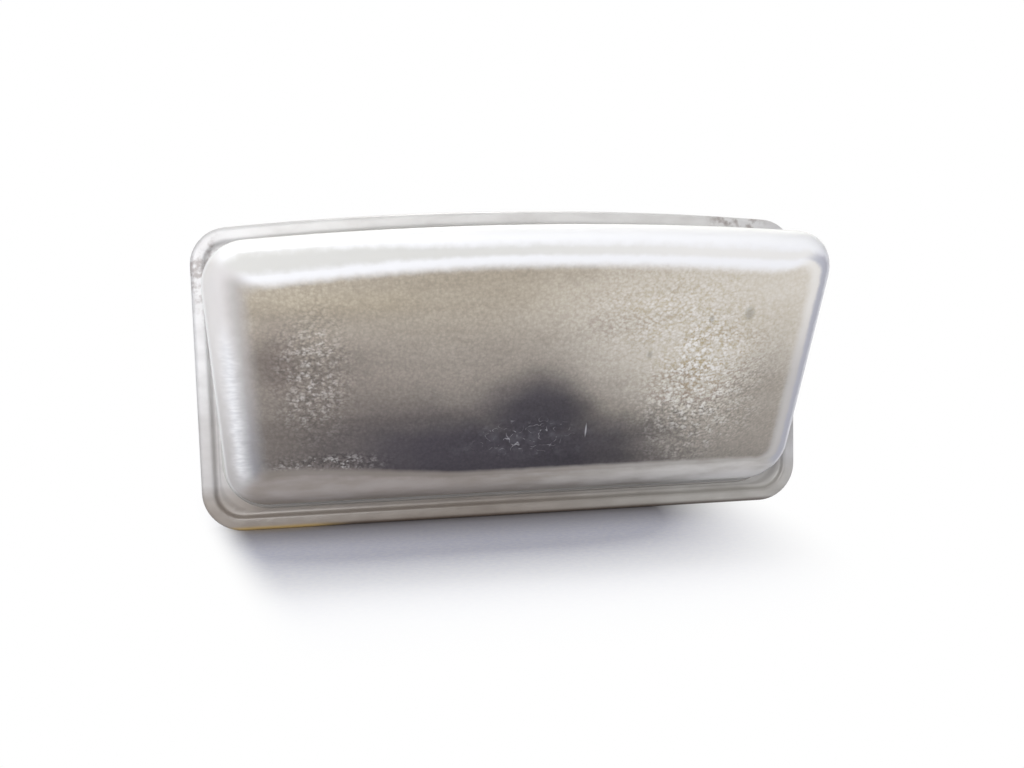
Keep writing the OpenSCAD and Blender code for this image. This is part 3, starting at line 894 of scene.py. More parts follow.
@dataclass(frozen=True)
class Outline:
    """A rounded rectangle with a bowed top edge, seen from the front.

    Attributes:
        half_width: Half its width.
        low: Its lower edge.
        top: Its upper edge at the corners.
        bow: How far the upper edge rises in the middle.
        r_top: The radius of its upper corners.
        r_low: The radius of its lower corners.
        least: The smallest radius that an inset leaves.
        corner_steps: Steps round a corner.
        long_steps: Steps along the top and the bottom.
        side_steps: Steps along a side.
    """

    half_width: float
    low: float
    top: float
    bow: float
    r_top: float
    r_low: float
    least: float = 0.8
    corner_steps: int = 12
    long_steps: int = 120
    side_steps: int = 40

    def inset(self, by: float) -> "Outline":
        """The same outline, smaller by that much all round."""
        return replace(self, half_width=self.half_width - by, low=self.low + by, top=self.top - by,
                       r_top=max(self.r_top - by, self.least), r_low=max(self.r_low - by, self.least))

    def rise(self, x: float) -> float:
        """How far the bow lifts the upper edge at that place."""
        return self.bow * (1 - (x / self.half_width) ** 2)

    def points(self) -> list[Point]:
        """Walks round the outline anticlockwise, from its lower right corner.

        Returns:
            Its points as X and Z.
        """
        w, low, top, n = self.half_width, self.low, self.top, self.corner_steps
        rt, rl = self.r_top, self.r_low
        crown = [*arc((w - rt, top - rt), rt, 0, 90, n),
                 *between((w - rt, top), (rt - w, top), self.long_steps),
                 *arc((rt - w, top - rt), rt, 90, 180, n)]
        return [*arc((w - rl, low + rl), rl, -90, 0, n),
                *between((w, low + rl), (w, top - rt), self.side_steps),
                *[(x, z + self.rise(x)) for x, z in crown],
                *between((-w, top - rt), (-w, low + rl), self.side_steps),
                *arc((rl - w, low + rl), rl, 180, 270, n),
                *between((rl - w, low), (w - rl, low), self.long_steps)]

    def holds(self, x: float, z: float) -> bool:
        """Whether a point lies inside the outline.

        Args:
            x: Its X in millimetres.
            z: Its Z.

        Returns:
            True if it does.
        """
        if abs(x) > self.half_width or z < self.low or z > self.top + self.rise(x):
            return False
        over = z > (self.low + self.top) / 2
        radius = self.r_top if over else self.r_low
        level = z - self.rise(x) - (self.top - radius) if over else self.low + radius - z
        past = abs(x) - (self.half_width - radius)
        return past < 0 or level < 0 or math.hypot(past, level) < radius


@dataclass(frozen=True)
class Shoulder:
    """The pale bands of painted highlight and shade on the thick shoulder of the lens, from the outer to the
    inner.

    Attributes:
        tub: The tub's outline.
        top: Where each band ends along the top, in millimetres in from the outline.
        right: The same along the right side.
        left: The same along the left side.
        low: The same along the bottom.
        top_left: The same at the left end of the top.
        low_left: The same at the left end of the bottom.
        blend: Over how many millimetres two sides blend in a corner.
        west: The X where the left ends begin, and over how much they come in.
    """

    tub: Outline
    top: tuple[float, float, float] = (2.3, 3.3, 4.25)
    right: tuple[float, float, float] = (0.75, 1.65, 2.6)
    left: tuple[float, float, float] = (1.6, 2.8, 4.1)
    low: tuple[float, float, float] = (0.7, 2.9, 3.4)
    top_left: tuple[float, float, float] = (1.3, 3.6, 4.5)
    low_left: tuple[float, float, float] = (0.7, 4.1, 4.9)
    blend: float = 1.8
    west: tuple[float, float] = (-8, 18)

    def facing(self, x: float, z: float) -> Vector:
        """Which way the nearest side of the outline faces, blended in the corners.

        Args:
            x: The place's X in millimetres.
            z: Its Z.

        Returns:
            The way as a unit vector.
        """
        tub = self.tub
        away = (tub.half_width - x, tub.half_width + x, tub.top + tub.rise(x) - z, z - tub.low)
        right, left, top, low = (math.exp(-max(d, 0) / self.blend) for d in away)
        return Vector((right - left, 0, top - low)).normalized()

    def count(self, edge_in: float, out: Vector, x: float) -> float:
        """Counts bands in from the outline: 1 where the outer one ends, then 2, then 3.

        Args:
            edge_in: The millimetres in from the tub's outline.
            out: The way that the outline faces there.
            x: How far right the place is.

        Returns:
            The count.
        """
        westward = min(max((self.west[0] - x) / self.west[1], 0), 1)
        top, low = max(out.z, 0) ** 2, max(-out.z, 0) ** 2
        shares = (top * (1 - westward), top * westward, max(out.x, 0) ** 2, max(-out.x, 0) ** 2,
                  low * (1 - westward), low * westward)
        ends = [sum(s * e for s, e in zip(shares, widths))
                for widths in zip(self.top, self.top_left, self.right, self.left, self.low, self.low_left)]
        if edge_in < ends[0]:
            return edge_in / ends[0]
        if edge_in < ends[1]:
            return 1 + (edge_in - ends[0]) / (ends[1] - ends[0])
        return 2 + (edge_in - ends[1]) / (ends[2] - ends[1])


class Shell:
    """A mesh that grows ring by ring, with a zone for each face.

    Attributes:
        shoulder: The bands that its border shows.
        points: Its vertices in millimetres.
        faces: Its faces.
        zones: The zone of each face.
        edge_in: How far in from the tub's outline each vertex lies.
        border: The same, counted in the pale bands of the shoulder.
        facing: Which way the outline faces beside each vertex.
    """

    def __init__(self, shoulder: Shoulder) -> None:
        """Starts an empty shell.

        Args:
            shoulder: The bands that its border shows.
        """
        self.shoulder = shoulder
        self.points: Ring = []
        self.faces: list[tuple[int, ...]] = []
        self.zones: list[int] = []
        self.edge_in: list[float] = []
        self.border: list[float] = []
        self.facing: Ring = []

    def ring(self, points: Ring, edge_in: float) -> range:
        """Adds a ring of points.

        Args:
            points: The points.
            edge_in: How far in from the tub's outline they lie.

        Returns:
            Their numbers.
        """
        start = len(self.points)
        self.points.extend(points)
        self.edge_in.extend([edge_in] * len(points))
        for x, _, z in points:
            out = self.shoulder.facing(x, z)
            self.facing.append(tuple(out))
            self.border.append(self.shoulder.count(edge_in, out, x))
        return range(start, len(self.points))

    def join(self, first: range, second: range, zone: int) -> None:
        """Joins two rings of equal counts with a strip of faces.

        Args:
            first: The numbers of one ring.
            second: The numbers of the next.
            zone: The zone of the strip.
        """
        count = len(first)
        for j in range(count):
            k = (j + 1) % count
            self.faces.append((first[j], first[k], second[k], second[j]))
            self.zones.append(zone)

    def cap(self, ring: Sequence[int], zone: int) -> None:
        """Closes a flat ring with one face."""
        self.faces.append(tuple(ring))
        self.zones.append(zone)

    def build(self, name: str) -> bpy.types.Object:
        """Makes the shell an object, closed and with its faces pointing outwards.

        Args:
            name: The object's name.

        Returns:
            The new object.
        """
        mesh = bpy.data.meshes.new(name)
        mesh.from_pydata([Vector(p) * MM for p in self.points], [], self.faces)
        zone = mesh.attributes.new("zone", "INT", "FACE")
        zone.data.foreach_set("value", self.zones)
        for attribute, values in (("edge_in", self.edge_in), ("border", self.border)):
            mesh.attributes.new(attribute, "FLOAT", "POINT").data.foreach_set("value", values)
        facing = mesh.attributes.new("facing", "FLOAT_VECTOR", "POINT")
        facing.data.foreach_set("vector", [c for way in self.facing for c in way])
        shape = bmesh.new()
        shape.from_mesh(mesh)
        bmesh.ops.recalc_face_normals(shape, faces=shape.faces)
        shape.to_mesh(mesh)
        shape.free()
        return link(name, mesh)


def link(name: str, data: bpy.types.ID) -> bpy.types.Object:
    """Puts a mesh, a lamp or a camera in the scene.

    Args:
        name: The object's name.
        data: The mesh, lamp or camera.

    Returns:
        The new object.
    """
    made = bpy.data.objects.new(name, data)
    bpy.context.scene.collection.objects.link(made)
    return made


def settle(piece: bpy.types.Object) -> None:
    """Turns a piece and its modifiers into one plain mesh.

    Args:
        piece: The piece, which keeps its name and materials.
    """
    graph = bpy.context.evaluated_depsgraph_get()
    graph.update()
    mesh = bpy.data.meshes.new_from_object(piece.evaluated_get(graph), preserve_all_data_layers=True,
                                           depsgraph=graph)
    piece.modifiers.clear()
    piece.data = mesh


def smooth(piece: bpy.types.Object, crease: float) -> None:
    """Shades a piece smooth, apart from edges sharper than an angle in degrees."""
    piece.data.shade_smooth()
    piece.data.set_sharp_from_angle(angle=math.radians(crease))


def rounded_copy(node: str, name: str, edge: float, segments: int) -> bpy.types.Object:
    """Copies a CAD node and rounds its edges, as a mould or a tumbler leaves them.

    Args:
        node: The CAD node.
        name: The new piece's name.
        edge: The radius of its edges in millimetres.
        segments: Steps round an edge.

    Returns:
        The new piece.
    """
    shape = bmesh.new()
    shape.from_mesh(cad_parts[node].data)
    bmesh.ops.remove_doubles(shape, verts=shape.verts, dist=MERGE * MM)
    bmesh.ops.dissolve_limit(shape, angle_limit=math.radians(FLAT), verts=shape.verts, edges=shape.edges)
    mesh = bpy.data.meshes.new(name)
    shape.to_mesh(mesh)
    shape.free()
    piece = link(name, mesh)
    bevel = piece.modifiers.new("edges", "BEVEL")
    bevel.width, bevel.segments = edge * MM, segments
    bevel.limit_method, bevel.angle_limit = "ANGLE", math.radians(CORNER)
    settle(piece)
    smooth(piece, 30.0)
    return piece


def place_piece(piece: bpy.types.Object, node: str) -> None:
    """Hangs a finished piece under the body's root and hides the CAD node that it replaces.

    Args:
        piece: The piece, with its materials.
        node: The CAD node that it replaces.
    """
    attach(piece, "root")
    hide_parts(node)
    log.info("%s: %d faces for %s", piece.name, len(piece.data.polygons), node)


@dataclass(frozen=True)
class Part:
    """A piece that is a CAD node with rounded edges and a finish.

    Attributes:
        node: The CAD node.
        name: The piece's name.
        slot: The record's material slot; it is not used.
        edge: The radius of its edges in millimetres.
        segments: Steps round an edge.
    """

    node: str
    name: str
    slot: str
    edge: float
    segments: int = 2

    def build(self, material: bpy.types.Material) -> None:
        """Rounds, dresses and places the piece.

        Args:
            material: Its finish.
        """
        piece = rounded_copy(self.node, self.name, self.edge, self.segments)
        piece.data.materials.append(material)
        place_piece(piece, self.node)


def seen_ray(tree: bpy.types.NodeTree) -> bpy.types.NodeSocket:
    """Finds the rays that show the background to the camera, straight or by gloss or glass.

    Args:
        tree: The background's tree.

    Returns:
        A socket that is 1 for such rays and 0 for others.
    """
    path = add_node(tree, "ShaderNodeLightPath")
    seen = path.outputs["Is Camera Ray"]
    for other in ("Is Glossy Ray", "Is Transmission Ray"):
        seen = add_node(tree, "ShaderNodeMath", {0: seen, 1: path.outputs[other]},
                        operation="MAXIMUM").outputs[0]
    return seen


# Sub-assemblies

@dataclass
class Lens:
    """The clear moulding: a wedge-shaped tub on a flange with a raised rim.

    Attributes:
        flange_w: Width of the flange.
        flange_h: Height of the flange at its corners.
        flange_bow: Rise of its bowed top edge.
        flange_r: Radius of its upper and its lower corners.
        flange_t: Its thickness.
        rim_w: Width of the raised rim.
        rim_h: Height of the rim above the groove.
        inset_side: Setback of the tub from the flange's sides.
        inset_top: Setback from its top.
        inset_low: Setback from its bottom.
        tub_bow: Rise of the tub's bowed top edge.
        tub_r: Radius of the tub's corners.
        depth_top: Depth of the tub at its top.
        depth_low: Depth of the tub at its bottom.
        shoulder_r: Rounding between the walls and the face.
        wall: Thickness of its wall.
        draft: Draft of its walls in degrees.
        fillet: Fillet at the foot of the tub.
        seal_t: Thickness of the seal behind it.
        mouth_edge: Chamfer round the mouth of the hollow.
        stipple_cell: Size of one pebble on the inner face.
        stipple_depth: Height of a pebble.
        mesh_step: Spacing of the inner face's mesh.
        far_in: How far in from the outline that mesh counts as lying.
        seed: The number that fixes the pebbles' pattern.
        shoulder_steps: Steps round the shoulder.
        fillet_steps: Steps round the fillet.
        inner_steps: Steps round the shoulder's inside.
        drawn_steps: How many of those belong to the drawn walls.
        face_insets: How far in from the tub's outline the rings of the face lie.
        flange: The flange's outline.
        tub: The tub's outline.
    """

    flange_w: float = 78
    flange_h: float = 37.4
    flange_bow: float = 1.9
    flange_r: tuple[float, float] = (4.2, 5)
    flange_t: float = 2.2
    rim_w: float = 1.7
    rim_h: float = 0.5
    inset_side: float = 3.7
    inset_top: float = 2.8
    inset_low: float = 3.7
    tub_bow: float = 1.45
    tub_r: float = 4.8
    depth_top: float = 21.6
    depth_low: float = 4.6
    shoulder_r: float = 2.2
    wall: float = 2.0
    draft: float = 1.0
    fillet: float = 0.7
    seal_t: float = 1.5
    mouth_edge: float = 0.2
    stipple_cell: float = 0.72
    stipple_depth: float = 0.09
    mesh_step: float = 0.24
    far_in: float = 9.0
    seed: float = 3.0
    shoulder_steps: int = 10
    fillet_steps: int = 4
    inner_steps: int = 8
    drawn_steps: int = 3
    face_insets: tuple[float, ...] = (6.0, 5.3, 4.8, 4.4, 4.0, 3.6, 3.2, 2.8, 2.5)
    flange: Outline = field(init=False)
    tub: Outline = field(init=False)

    def __post_init__(self) -> None:
        """Works out the derived sizes and the two outlines."""
        self.back_y = -self.seal_t
        self.flange_y = self.back_y - self.flange_t
        self.rim_y = self.flange_y - self.rim_h
        tub_w = self.flange_w - 2 * self.inset_side
        self.tub_top = self.flange_h / 2 - self.inset_top
        self.tub_low = self.inset_low - self.flange_h / 2
        self.slope = (self.depth_top - self.depth_low) / (self.tub_top - self.tub_low)
        self.face_wall = self.wall * math.hypot(1, self.slope)
        self.foot_out = math.tan(math.radians(self.draft)) * self.depth_top
        half_h = self.flange_h / 2
        self.flange = Outline(self.flange_w / 2, -half_h, half_h, self.flange_bow, *self.flange_r)
        self.tub = Outline(tub_w / 2, self.tub_low, self.tub_top, self.tub_bow, self.tub_r, self.tub_r, 1.0)

    def face_y(self, z: float, back: float) -> float:
        """Depth of the sloping face at a height, moved back by a wall."""
        return self.rim_y - self.depth_low - self.slope * (z - self.tub_low) + back

    def flat_ring(self, outline: Outline, y: float) -> Ring:
        """A ring in a plane parallel to the panel."""
        return [(x, y, z) for x, z in outline.points()]

    def face_ring(self, outline: Outline, back: float) -> Ring:
        """A ring in a plane parallel to the sloping face."""
        return [(x, self.face_y(z, back), z) for x, z in outline.points()]

    def shell(self) -> Shell:
        """Builds the moulding's rings from the middle of the face to the middle of the hollow.

        Returns:
            The closed shell.
        """
        shell = Shell(Shoulder(self.tub))
        r, steps = self.shoulder_r, self.shoulder_steps
        rings: list[tuple[Ring, int, float]] = [
            (self.face_ring(self.tub.inset(by), 0), Zone.FACE, by) for by in self.face_insets]
        for i in range(steps + 1):
            a = math.radians(90 * (1 - i / steps))
            by = r * (1 - math.cos(a))
            rings.append((self.face_ring(self.tub.inset(by), r * (1 - math.sin(a))), Zone.FACE, by))
        for i in range(self.fillet_steps + 1):
            a = math.radians(90 * i / self.fillet_steps)
            by = -self.foot_out - self.fillet * (1 - math.cos(a))
            rings.append((self.flat_ring(self.tub.inset(by), self.flange_y - self.fillet * (1 - math.sin(a))),
                          Zone.WALL, by))
        # over the raised rim and round the flange's edge: how far in from it, and how high
        rim, h = self.rim_w, self.rim_h
        profile = [(rim + 0.45, 0), (rim + 0.28, 0.03), (rim + 0.12, 0.3 * h), (rim, 0.7 * h),
                   (rim - 0.14, 0.95 * h), (rim - 0.32, h), (0.5, h), (0.28, 0.93 * h), (0.1, 0.65 * h),
                   (0.02, 0.3 * h), (0, 0), (0, 0.25 - self.flange_t), (0.07, 0.07 - self.flange_t),
                   (0.25, -self.flange_t)]
        for inset, height in profile:
            rings.append((self.flat_ring(self.flange.inset(inset), self.flange_y - height), Zone.FLANGE,
                          inset - self.rim_w))
        mouth = self.tub.inset(self.wall - self.foot_out)
        edge = self.mouth_edge
        rings.append((self.flat_ring(mouth.inset(-edge), self.back_y), Zone.FLANGE, self.wall - edge))
        rings.append((self.flat_ring(mouth, self.back_y - edge), Zone.HOLLOW, self.wall))
        r, steps = self.shoulder_r / 2, self.inner_steps
        for i in range(steps + 1):
            a = math.radians(90 * i / steps)
            by = self.wall + r * (1 - math.cos(a))
            rings.append((self.face_ring(self.tub.inset(by), self.face_wall + r * (1 - math.sin(a))),
                          Zone.HOLLOW if i < self.drawn_steps else Zone.OPTICS, by))
        numbers = [shell.ring(points, by) for points, _, by in rings]
        shell.cap(numbers[0], Zone.FACE)
        for i in range(1, len(rings)):
            shell.join(numbers[i - 1], numbers[i], rings[i][1])
        self.fill_inner_face(shell, numbers[-1])
        return shell

    def fill_inner_face(self, shell: Shell, border: range) -> None:
        """Fills the inner face with an even mesh that can take the stipple.

        Args:
            shell: The moulding's shell.
            border: The numbers of the last ring.
        """
        edge = self.tub.inset(self.wall + self.shoulder_r / 2)
        flat = [Vector((shell.points[j][0], shell.points[j][2])) for j in border]
        # room for the points of the border, so that no triangle beside it is a sliver
        room = edge.inset(0.6 * self.mesh_step)
        step, rise = self.mesh_step, self.mesh_step * math.sqrt(0.75)
        rows = int((edge.top + edge.bow - edge.low) / rise)
        columns = int(2 * edge.half_width / step)
        for j in range(rows + 1):
            for i in range(columns + 1):
                x = (i + 0.5 * (j % 2)) * step - edge.half_width
                z = edge.low + j * rise
                if room.holds(x, z):
                    flat.append(Vector((x, z)))
        count = len(border)
        loop = [(j, (j + 1) % count) for j in range(count)]
        spots, _, faces, origin, _, _ = geometry.delaunay_2d_cdt(flat, loop, [list(range(count))], 1, 1e-5)
        number: dict[int, int] = {}
        for j, spot in enumerate(spots):
            on_border = [k for k in origin[j] if k < count]
            if on_border:
                number[j] = border[on_border[0]]
            else:
                number[j] = len(shell.points)
                shell.ring([(spot.x, self.face_y(spot.y, self.face_wall), spot.y)], self.far_in)
        for face in faces:
            shell.cap([number[j] for j in face], Zone.OPTICS)

    def stipple_tree(self, finishes: dict[Zone, bpy.types.Material]) -> bpy.types.NodeTree:
        """Builds the Geometry Nodes tree that raises the pebbles and lays on the finishes.

        Args:
            finishes: The material of each zone.

        Returns:
            The tree, with inputs Cell, Depth and Seed.
        """
        tree = bpy.data.node_groups.new("lens_stipple", "GeometryNodeTree")
        tree.interface.new_socket(name="Geometry", in_out="INPUT", socket_type="NodeSocketGeometry")
        for name in ("Cell", "Depth", "Seed"):
            tree.interface.new_socket(name=name, in_out="INPUT", socket_type="NodeSocketFloat")
        tree.interface.new_socket(name="Geometry", in_out="OUTPUT", socket_type="NodeSocketGeometry")
        given = add_node(tree, "NodeGroupInput")
        # the zone of the faces round a point, blended where two zones meet
        zone = add_node(tree, "GeometryNodeInputNamedAttribute", {"Name": "zone"}, data_type="INT")
        is_optics = add_node(tree, "FunctionNodeCompare", {2: zone.outputs[0], 3: int(Zone.OPTICS)},
                             data_type="INT", operation="EQUAL").outputs[0]
        weight = add_node(tree, "GeometryNodeFieldOnDomain", {0: is_optics}, data_type="FLOAT", domain="FACE")
        scale = add_node(tree, "ShaderNodeMath", {0: 1.0, 1: given.outputs["Cell"]},
                         operation="DIVIDE").outputs[0]
        cells = add_node(tree, "ShaderNodeTexVoronoi", {"W": given.outputs["Seed"], "Scale": scale,
                                                        "Smoothness": 0.4},
                         voronoi_dimensions="4D", feature="SMOOTH_F1")
        # a dome over each cell, half of it above the face and half below
        dome = add_node(tree, "ShaderNodeMapRange", {"Value": cells.outputs["Distance"], "From Min": 0.15,
                                                     "From Max": 0.75, "To Min": 0.5, "To Max": -0.5})
        height = add_node(tree, "ShaderNodeMath", {0: dome.outputs[0], 1: given.outputs["Depth"]},
                          operation="MULTIPLY").outputs[0]
        height = add_node(tree, "ShaderNodeMath", {0: height, 1: weight.outputs[0]},
                          operation="MULTIPLY").outputs[0]
        normal = add_node(tree, "GeometryNodeInputNormal").outputs[0]
        push = add_node(tree, "ShaderNodeVectorMath", {"Vector": normal, "Scale": height}, operation="SCALE")
        shaped = add_node(tree, "GeometryNodeSetPosition", {"Geometry": given.outputs["Geometry"],
                                                            "Offset": push.outputs[0]}).outputs[0]
        shaped = add_node(tree, "GeometryNodeRealizeInstances", {0: shaped}).outputs[0]
        for which, material in finishes.items():
            here = add_node(tree, "FunctionNodeCompare", {2: zone.outputs[0], 3: int(which)},
                            data_type="INT", operation="EQUAL").outputs[0]
            laid = add_node(tree, "GeometryNodeSetMaterial", {"Geometry": shaped, "Selection": here})
            laid.inputs["Material"].default_value = material
            shaped = laid.outputs[0]
        add_node(tree, "NodeGroupOutput", {0: shaped})
        return tree

    def build(self) -> None:
        """Builds and dresses the lens."""
        piece = self.shell().build("lens_moulding")
        tree = self.stipple_tree({
            Zone.FACE: FoggedFace().material(), Zone.WALL: ClearWall().material(),
            Zone.OPTICS: StippledOptics().material(),
            Zone.HOLLOW: DrawnWall().material(), Zone.FLANGE: HazedFlange().material()})
        worker = piece.modifiers.new("stipple", "NODES")
        worker.node_group = tree
        sizes = {"Cell": self.stipple_cell * MM, "Depth": self.stipple_depth * MM, "Seed": self.seed}
        for item in tree.interface.items_tree:
            if item.in_out == "INPUT" and item.name in sizes:
                worker[item.identifier] = sizes[item.name]
        settle(piece)
        smooth(piece, 40.0)
        place_piece(piece, "lens")


@dataclass
class Housing:
    """The clip-in housing with its seal, vent, spring and reflector.

    Attributes:
        shell: The moulded box.
        seal: The foam ring behind the flange.
        spring: The leaf that grips the panel.
        reflector: The metallised dish.
        vent: The film disc over the vent holes.
    """

    shell: Part = Part("housing", "housing_shell", "housing_plastic", 0.25)
    seal: Part = Part("panel_seal", "seal_ring", "seal_foam", 0.2)
    spring: Part = Part("retaining_spring", "clip_spring", "spring_steel", 0.08)
    reflector: Part = Part("reflector", "reflector_dish", "reflector_coat", 0.05, 1)
    vent: Part = Part("vent_membrane", "vent_disc", "membrane", 0.05)

    def build(self) -> None:
        """Builds and dresses the housing and what is fixed in it."""
        # to the eye: a dull dark grey, fine-grained, with paler dust and scuffs
        self.shell.build(MouldedPlastic("abs_smoke_grey_moulded", "#35323A", "#8C867E").material())
        # to the eye: brownish black and matt, with open pores on its cut edge
        self.seal.build(SoftSheet("epdm_sponge_die_cut", "#40352C", "#6B5D4F").material())
        # to the eye: grey steel with brown stains
        self.spring.build(BareMetal("spring_steel_rolled", "#9A9A98", "#6E5F52").material())
        self.reflector.build(AgedReflector().material())
        # to the eye: a plain dark film; its real pores are far finer and wouldn't show
        self.vent.build(SoftSheet("ptfe_membrane_sintered", "#3A3A3C", "#5A5A5A", pore=0.15).material())


@dataclass
class BulbHolder:
    """The twist-in holder with its seal and contacts.

    Attributes:
        body: The moulded holder.
        seal: The ring between its cap and the housing's boss.
        contacts: The strips from the bulb to the socket.
    """

    body: Part = Part("bulb_holder", "holder_body", "holder_plastic", 0.22)
    seal: Part = Part("holder_seal", "holder_ring", "seal_rubber", 0.2)
    contacts: tuple[Part, ...] = tuple(
        Part(f"contact_{side}", f"terminal_{side}", "contact_metal", 0.08) for side in ("left", "right"))

    def build(self) -> None:
        """Builds and dresses the holder and its metal."""
        # to the eye: black with a satin grain, where the glass fibres lie close under the skin
        nylon = MouldedPlastic("nylon_black_glass_filled", "#1D1D20", "#77716A",
                               grain=0.25, dusty=0.18, roughness=0.5)
        self.body.build(nylon.material())
        # to the eye: a matt red-brown ring
        self.seal.build(SoftSheet("silicone_rubber_moulded", "#4A2F27", "#6B4A3E", pore=0.5).material())
        # to the eye: a pale grey metal, yellowed where the brass shows through the tin
        brass = BareMetal("brass_strip_tinned", "#C3BDAC", "#8A7A5E").material()
        for contact in self.contacts:
            contact.build(brass)


@dataclass
class Bulb:
    """The wedge-base bulb.

    Attributes:
        glass: The envelope.
        filament: The coil.
        leads: The wires from the coil to the base.
    """

    glass: Part = Part("bulb_glass", "bulb_envelope", "bulb_glass", 0.15)
    filament: Part = Part("filament", "filament_coil", "filament_wire", 0.01, 1)
    leads: tuple[Part, ...] = tuple(
        Part(f"lead_wire_{side}", f"lead_{side}", "lead_metal", 0.02, 1) for side in ("left", "right"))

    def build(self) -> None:
        """Builds and dresses the glass, the filament and the leads."""
        self.glass.build(BulbGlass().material())
        # to the eye: a dark grey, slightly rough wire
        self.filament.build(BareMetal("tungsten_coiled", "#55555A", "#3A3A3C", roughness=0.4).material())
        # to the eye: a warm grey wire with brown heat stains
        wire = BareMetal("nickel_iron_wire_drawn", "#A8A39A", "#7A6A58").material()
        for lead in self.leads:
            lead.build(wire)


@dataclass(frozen=True)
class SoftLamp:
    """A square soft lamp that points at the object.

    Attributes:
        name: Its name.
        place: Where it hangs, in millimetres.
        size: The side of its square.
        watts: Its power.
        colour: The colour of its light.
    """

    name: str
    place: tuple[float, float, float]
    size: float
    watts: float
    colour: str

    def hang(self) -> None:
        """Puts the lamp in the scene."""
        data = bpy.data.lights.new(self.name, "AREA")
        data.shape, data.size, data.energy = "SQUARE", self.size * MM, self.watts
        data.color = linear(self.colour)[:3]
        made = link(self.name, data)
        made.location = Vector(self.place) * MM
        made.rotation_mode = "QUATERNION"
        made.rotation_quaternion = (-made.location).to_track_quat("-Z", "Y")


@dataclass
class Studio:
    """The pale floor, the soft light and the camera of the photograph.

    Attributes:
        focal: Focal length for a 36 mm sensor.
        eye: The camera's place.
        yaw: How far it looks to the right, in degrees.
        pitch: How far it looks up.
        roll: How far it leans.
        floor_z: Height of the floor, under the flange's lower edge.
        floor_half: Half the floor's side.
        lamps: The key lamp above and the fill lamp in front.
        daylight: Strength of the world's light.
        paper: The two shades of the floor's paper.
        near_shade: The colour of the painted shadow on the paper close in front of the lamp.
        contact_shade: The painted contact shadow right under the lamp, from the right to the left: dark
            brown, then a painted amber glow.
        shadow_centre: X and Y of the oval in which the paper keeps its shadow.
        shadow_radii: The oval's half width and half depth.
        shadow_power: How square the oval's ends are.
        shadow_fade: Where the shadow is gone and where it is whole, as a share of the radii.
        shadow_edge: Where it is gone and where it is whole towards the left.
    """

    focal: float = 35.156
    eye: tuple[float, float, float] = (-19.3, -131.4, 9.3)
    yaw: float = 8.8
    pitch: float = -4.8
    roll: float = -1.5
    floor_z: float = -18.7
    floor_half: float = 3000.0
    lamps: tuple[SoftLamp, ...] = (SoftLamp("key", (20, 60, 245), 90, 0.42, "#FFFEFA"),
                                   SoftLamp("fill", (-90, -250, 45), 150, 0.5, "#FFFFFF"))
    daylight: float = 0.36
    paper: Shades = ("#E0E3F4", "#EAECF8")
    near_shade: str = "#6A5F58"
    contact_shade: Shades = ("#4B3D32", "#A08A5C")
    shadow_centre: Point = (-8, -6)
    shadow_radii: Point = (37, 34)
    shadow_power: float = 2.5
    shadow_fade: Point = (1.5, 0.45)
    shadow_edge: Point = (-40, -34.5)

    def camera(self) -> None:
        """Sets up the camera at the photograph's viewing angle."""
        yaw, pitch, roll = (math.radians(v) for v in (self.yaw, self.pitch, self.roll))
        ahead = Vector((math.sin(yaw) * math.cos(pitch), math.cos(yaw) * math.cos(pitch), math.sin(pitch)))
        level = Vector((math.cos(yaw), -math.sin(yaw), 0))
        upward = level.cross(ahead)
        right = level * math.cos(roll) + upward * math.sin(roll)
        up = upward * math.cos(roll) - level * math.sin(roll)
        data = bpy.data.cameras.new("camera")
        data.sensor_width, data.lens = 36, self.focal
        data.clip_start, data.clip_end = 0.001, 10
        made = link("camera", data)
        turn = Matrix((right, up, -ahead)).transposed().to_4x4()
        made.matrix_world = Matrix.Translation(Vector(self.eye) * MM) @ turn
        bpy.context.scene.camera = made

    def world(self) -> None:
        """Sets a soft white world that shows as plain white."""
        world = bpy.data.worlds.new("daylight")
        bpy.context.scene.world = world
        world.use_nodes = True
        tree = world.node_tree
        tree.nodes.clear()
        soft = add_node(tree, "ShaderNodeBackground", {"Color": "#F8F8F8", "Strength": self.daylight})
        white = add_node(tree, "ShaderNodeBackground", {"Color": "#FFFFFF", "Strength": 1.0})
        mixed = add_node(tree, "ShaderNodeMixShader",
                         {0: seen_ray(tree), 1: soft.outputs[0], 2: white.outputs[0]})
        add_node(tree, "ShaderNodeOutputWorld", {"Surface": mixed.outputs[0]})

    def kept_shadow(self, paint: Paint) -> bpy.types.NodeSocket:
        """Masks the oval round the lamp in which the paper shows its shadow.

        Args:
            paint: The paper's paint.

        Returns:
            The mask's socket, 1 where the shadow is whole and 0 where the paper shows as white.
        """
        (x, y), (half_w, half_d) = self.shadow_centre, self.shadow_radii
        spot = paint.add("ShaderNodeMapping", {
            "Vector": paint.place, "Location": (-x / half_w, -y / half_d, 0),
            "Scale": (1 / half_w, 1 / half_d, 0)})
        spot = paint.add("ShaderNodeVectorMath", {0: spot}, operation="ABSOLUTE")
        parts = add_node(paint.tree, "ShaderNodeSeparateXYZ", {0: spot})
        along = paint.add("ShaderNodeMath", {0: parts.outputs["X"], 1: self.shadow_power}, operation="POWER")
        oval = paint.add("ShaderNodeCombineXYZ", {"X": along, "Y": parts.outputs["Y"]})
        away = paint.add("ShaderNodeVectorMath", {0: oval}, "Value", operation="LENGTH")
        gone, whole = self.shadow_fade
        dark = paint.add("ShaderNodeMapRange", {"Value": away, "From Min": gone, "From Max": whole})
        aside = paint.add("ShaderNodeVectorMath", {0: paint.place, 1: (1, 0.25, 0)}, "Value",
                          operation="DOT_PRODUCT")
        return paint.times(paint.times(dark, dark), paint.ramp(aside, *self.shadow_edge))

    def sheet(self) -> bpy.types.Material:
        """Makes the floor's paper, which shows as white outside the lamp's shadow.

        Returns:
            The material.
        """
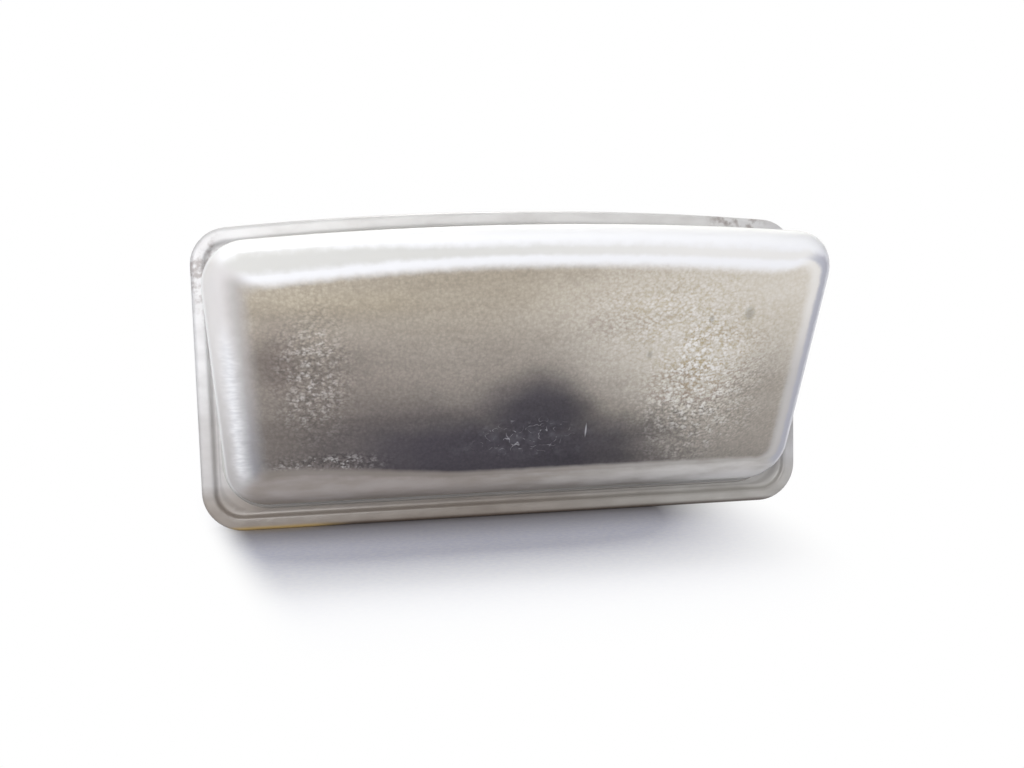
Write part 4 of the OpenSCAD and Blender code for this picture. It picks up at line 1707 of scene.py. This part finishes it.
        # to the eye: matt bluish white, with a painted shadow in front of the lamp and a painted dark contact
        # shadow, amber at its left end, where the lamp stands on it
        paint = Paint("paper_white_matt")
        colour = paint.over(paint.grain(0.6, 0.3, 0.7), *self.paper)
        # painted shadow close in front of the lamp
        near = paint.times(paint.times(paint.along("Y", -18, -4), paint.along("Y", 3, 0)),
                           paint.times(paint.along("X", -38, -33), paint.along("X", 38, 22)))
        colour = paint.over(paint.times(near, 0.55), colour, self.near_shade)
        # painted contact shadow right under the lamp, with a painted amber glow at its left end
        contact = paint.times(paint.times(paint.along("Y", -7.5, -1.5), paint.along("Y", 3, 0)),
                              paint.times(paint.along("X", -37, -31), paint.along("X", 35, 30)))
        colour = paint.over(paint.times(contact, 0.8), colour,
                            paint.over(paint.along("X", -22, -28), *self.contact_shade))
        material = paint.finish(Base_Color=colour, Roughness=0.9, Specular_IOR_Level=0.1)
        output = next(n for n in paint.tree.nodes if n.type == "OUTPUT_MATERIAL")
        paper = output.inputs["Surface"].links[0].from_socket
        white = paint.add("ShaderNodeEmission", {"Color": "#FFFFFF", "Strength": 1.0})
        keep = paint.add("ShaderNodeMath", {0: 1.0, 1: self.kept_shadow(paint)}, operation="SUBTRACT")
        whitened = paint.times(keep, seen_ray(paint.tree))
        mixed = paint.add("ShaderNodeMixShader", {0: whitened, 1: paper, 2: white})
        paint.tree.links.new(mixed, output.inputs["Surface"])
        return material

    def floor(self) -> None:
        """Lays the pale floor."""
        half = self.floor_half
        mesh = bpy.data.meshes.new("floor")
        corners = [(-half, -half), (half, -half), (half, half), (-half, half)]
        mesh.from_pydata([Vector((x, y, self.floor_z)) * MM for x, y in corners], [], [(0, 1, 2, 3)])
        mesh.materials.append(self.sheet())
        link("floor", mesh)

    def build(self) -> None:
        """Sets the whole studio."""
        self.camera()
        self.world()
        self.floor()
        for lamp in self.lamps:
            lamp.hang()
        bpy.context.scene.view_settings.view_transform = "Standard"


def main() -> None:
    """Builds the lamp and its studio."""
    logging.basicConfig(level=logging.INFO, format="%(message)s")
    Lens().build()
    Housing().build()
    BulbHolder().build()
    Bulb().build()
    Studio().build()


if __name__ == "__main__":
    main()
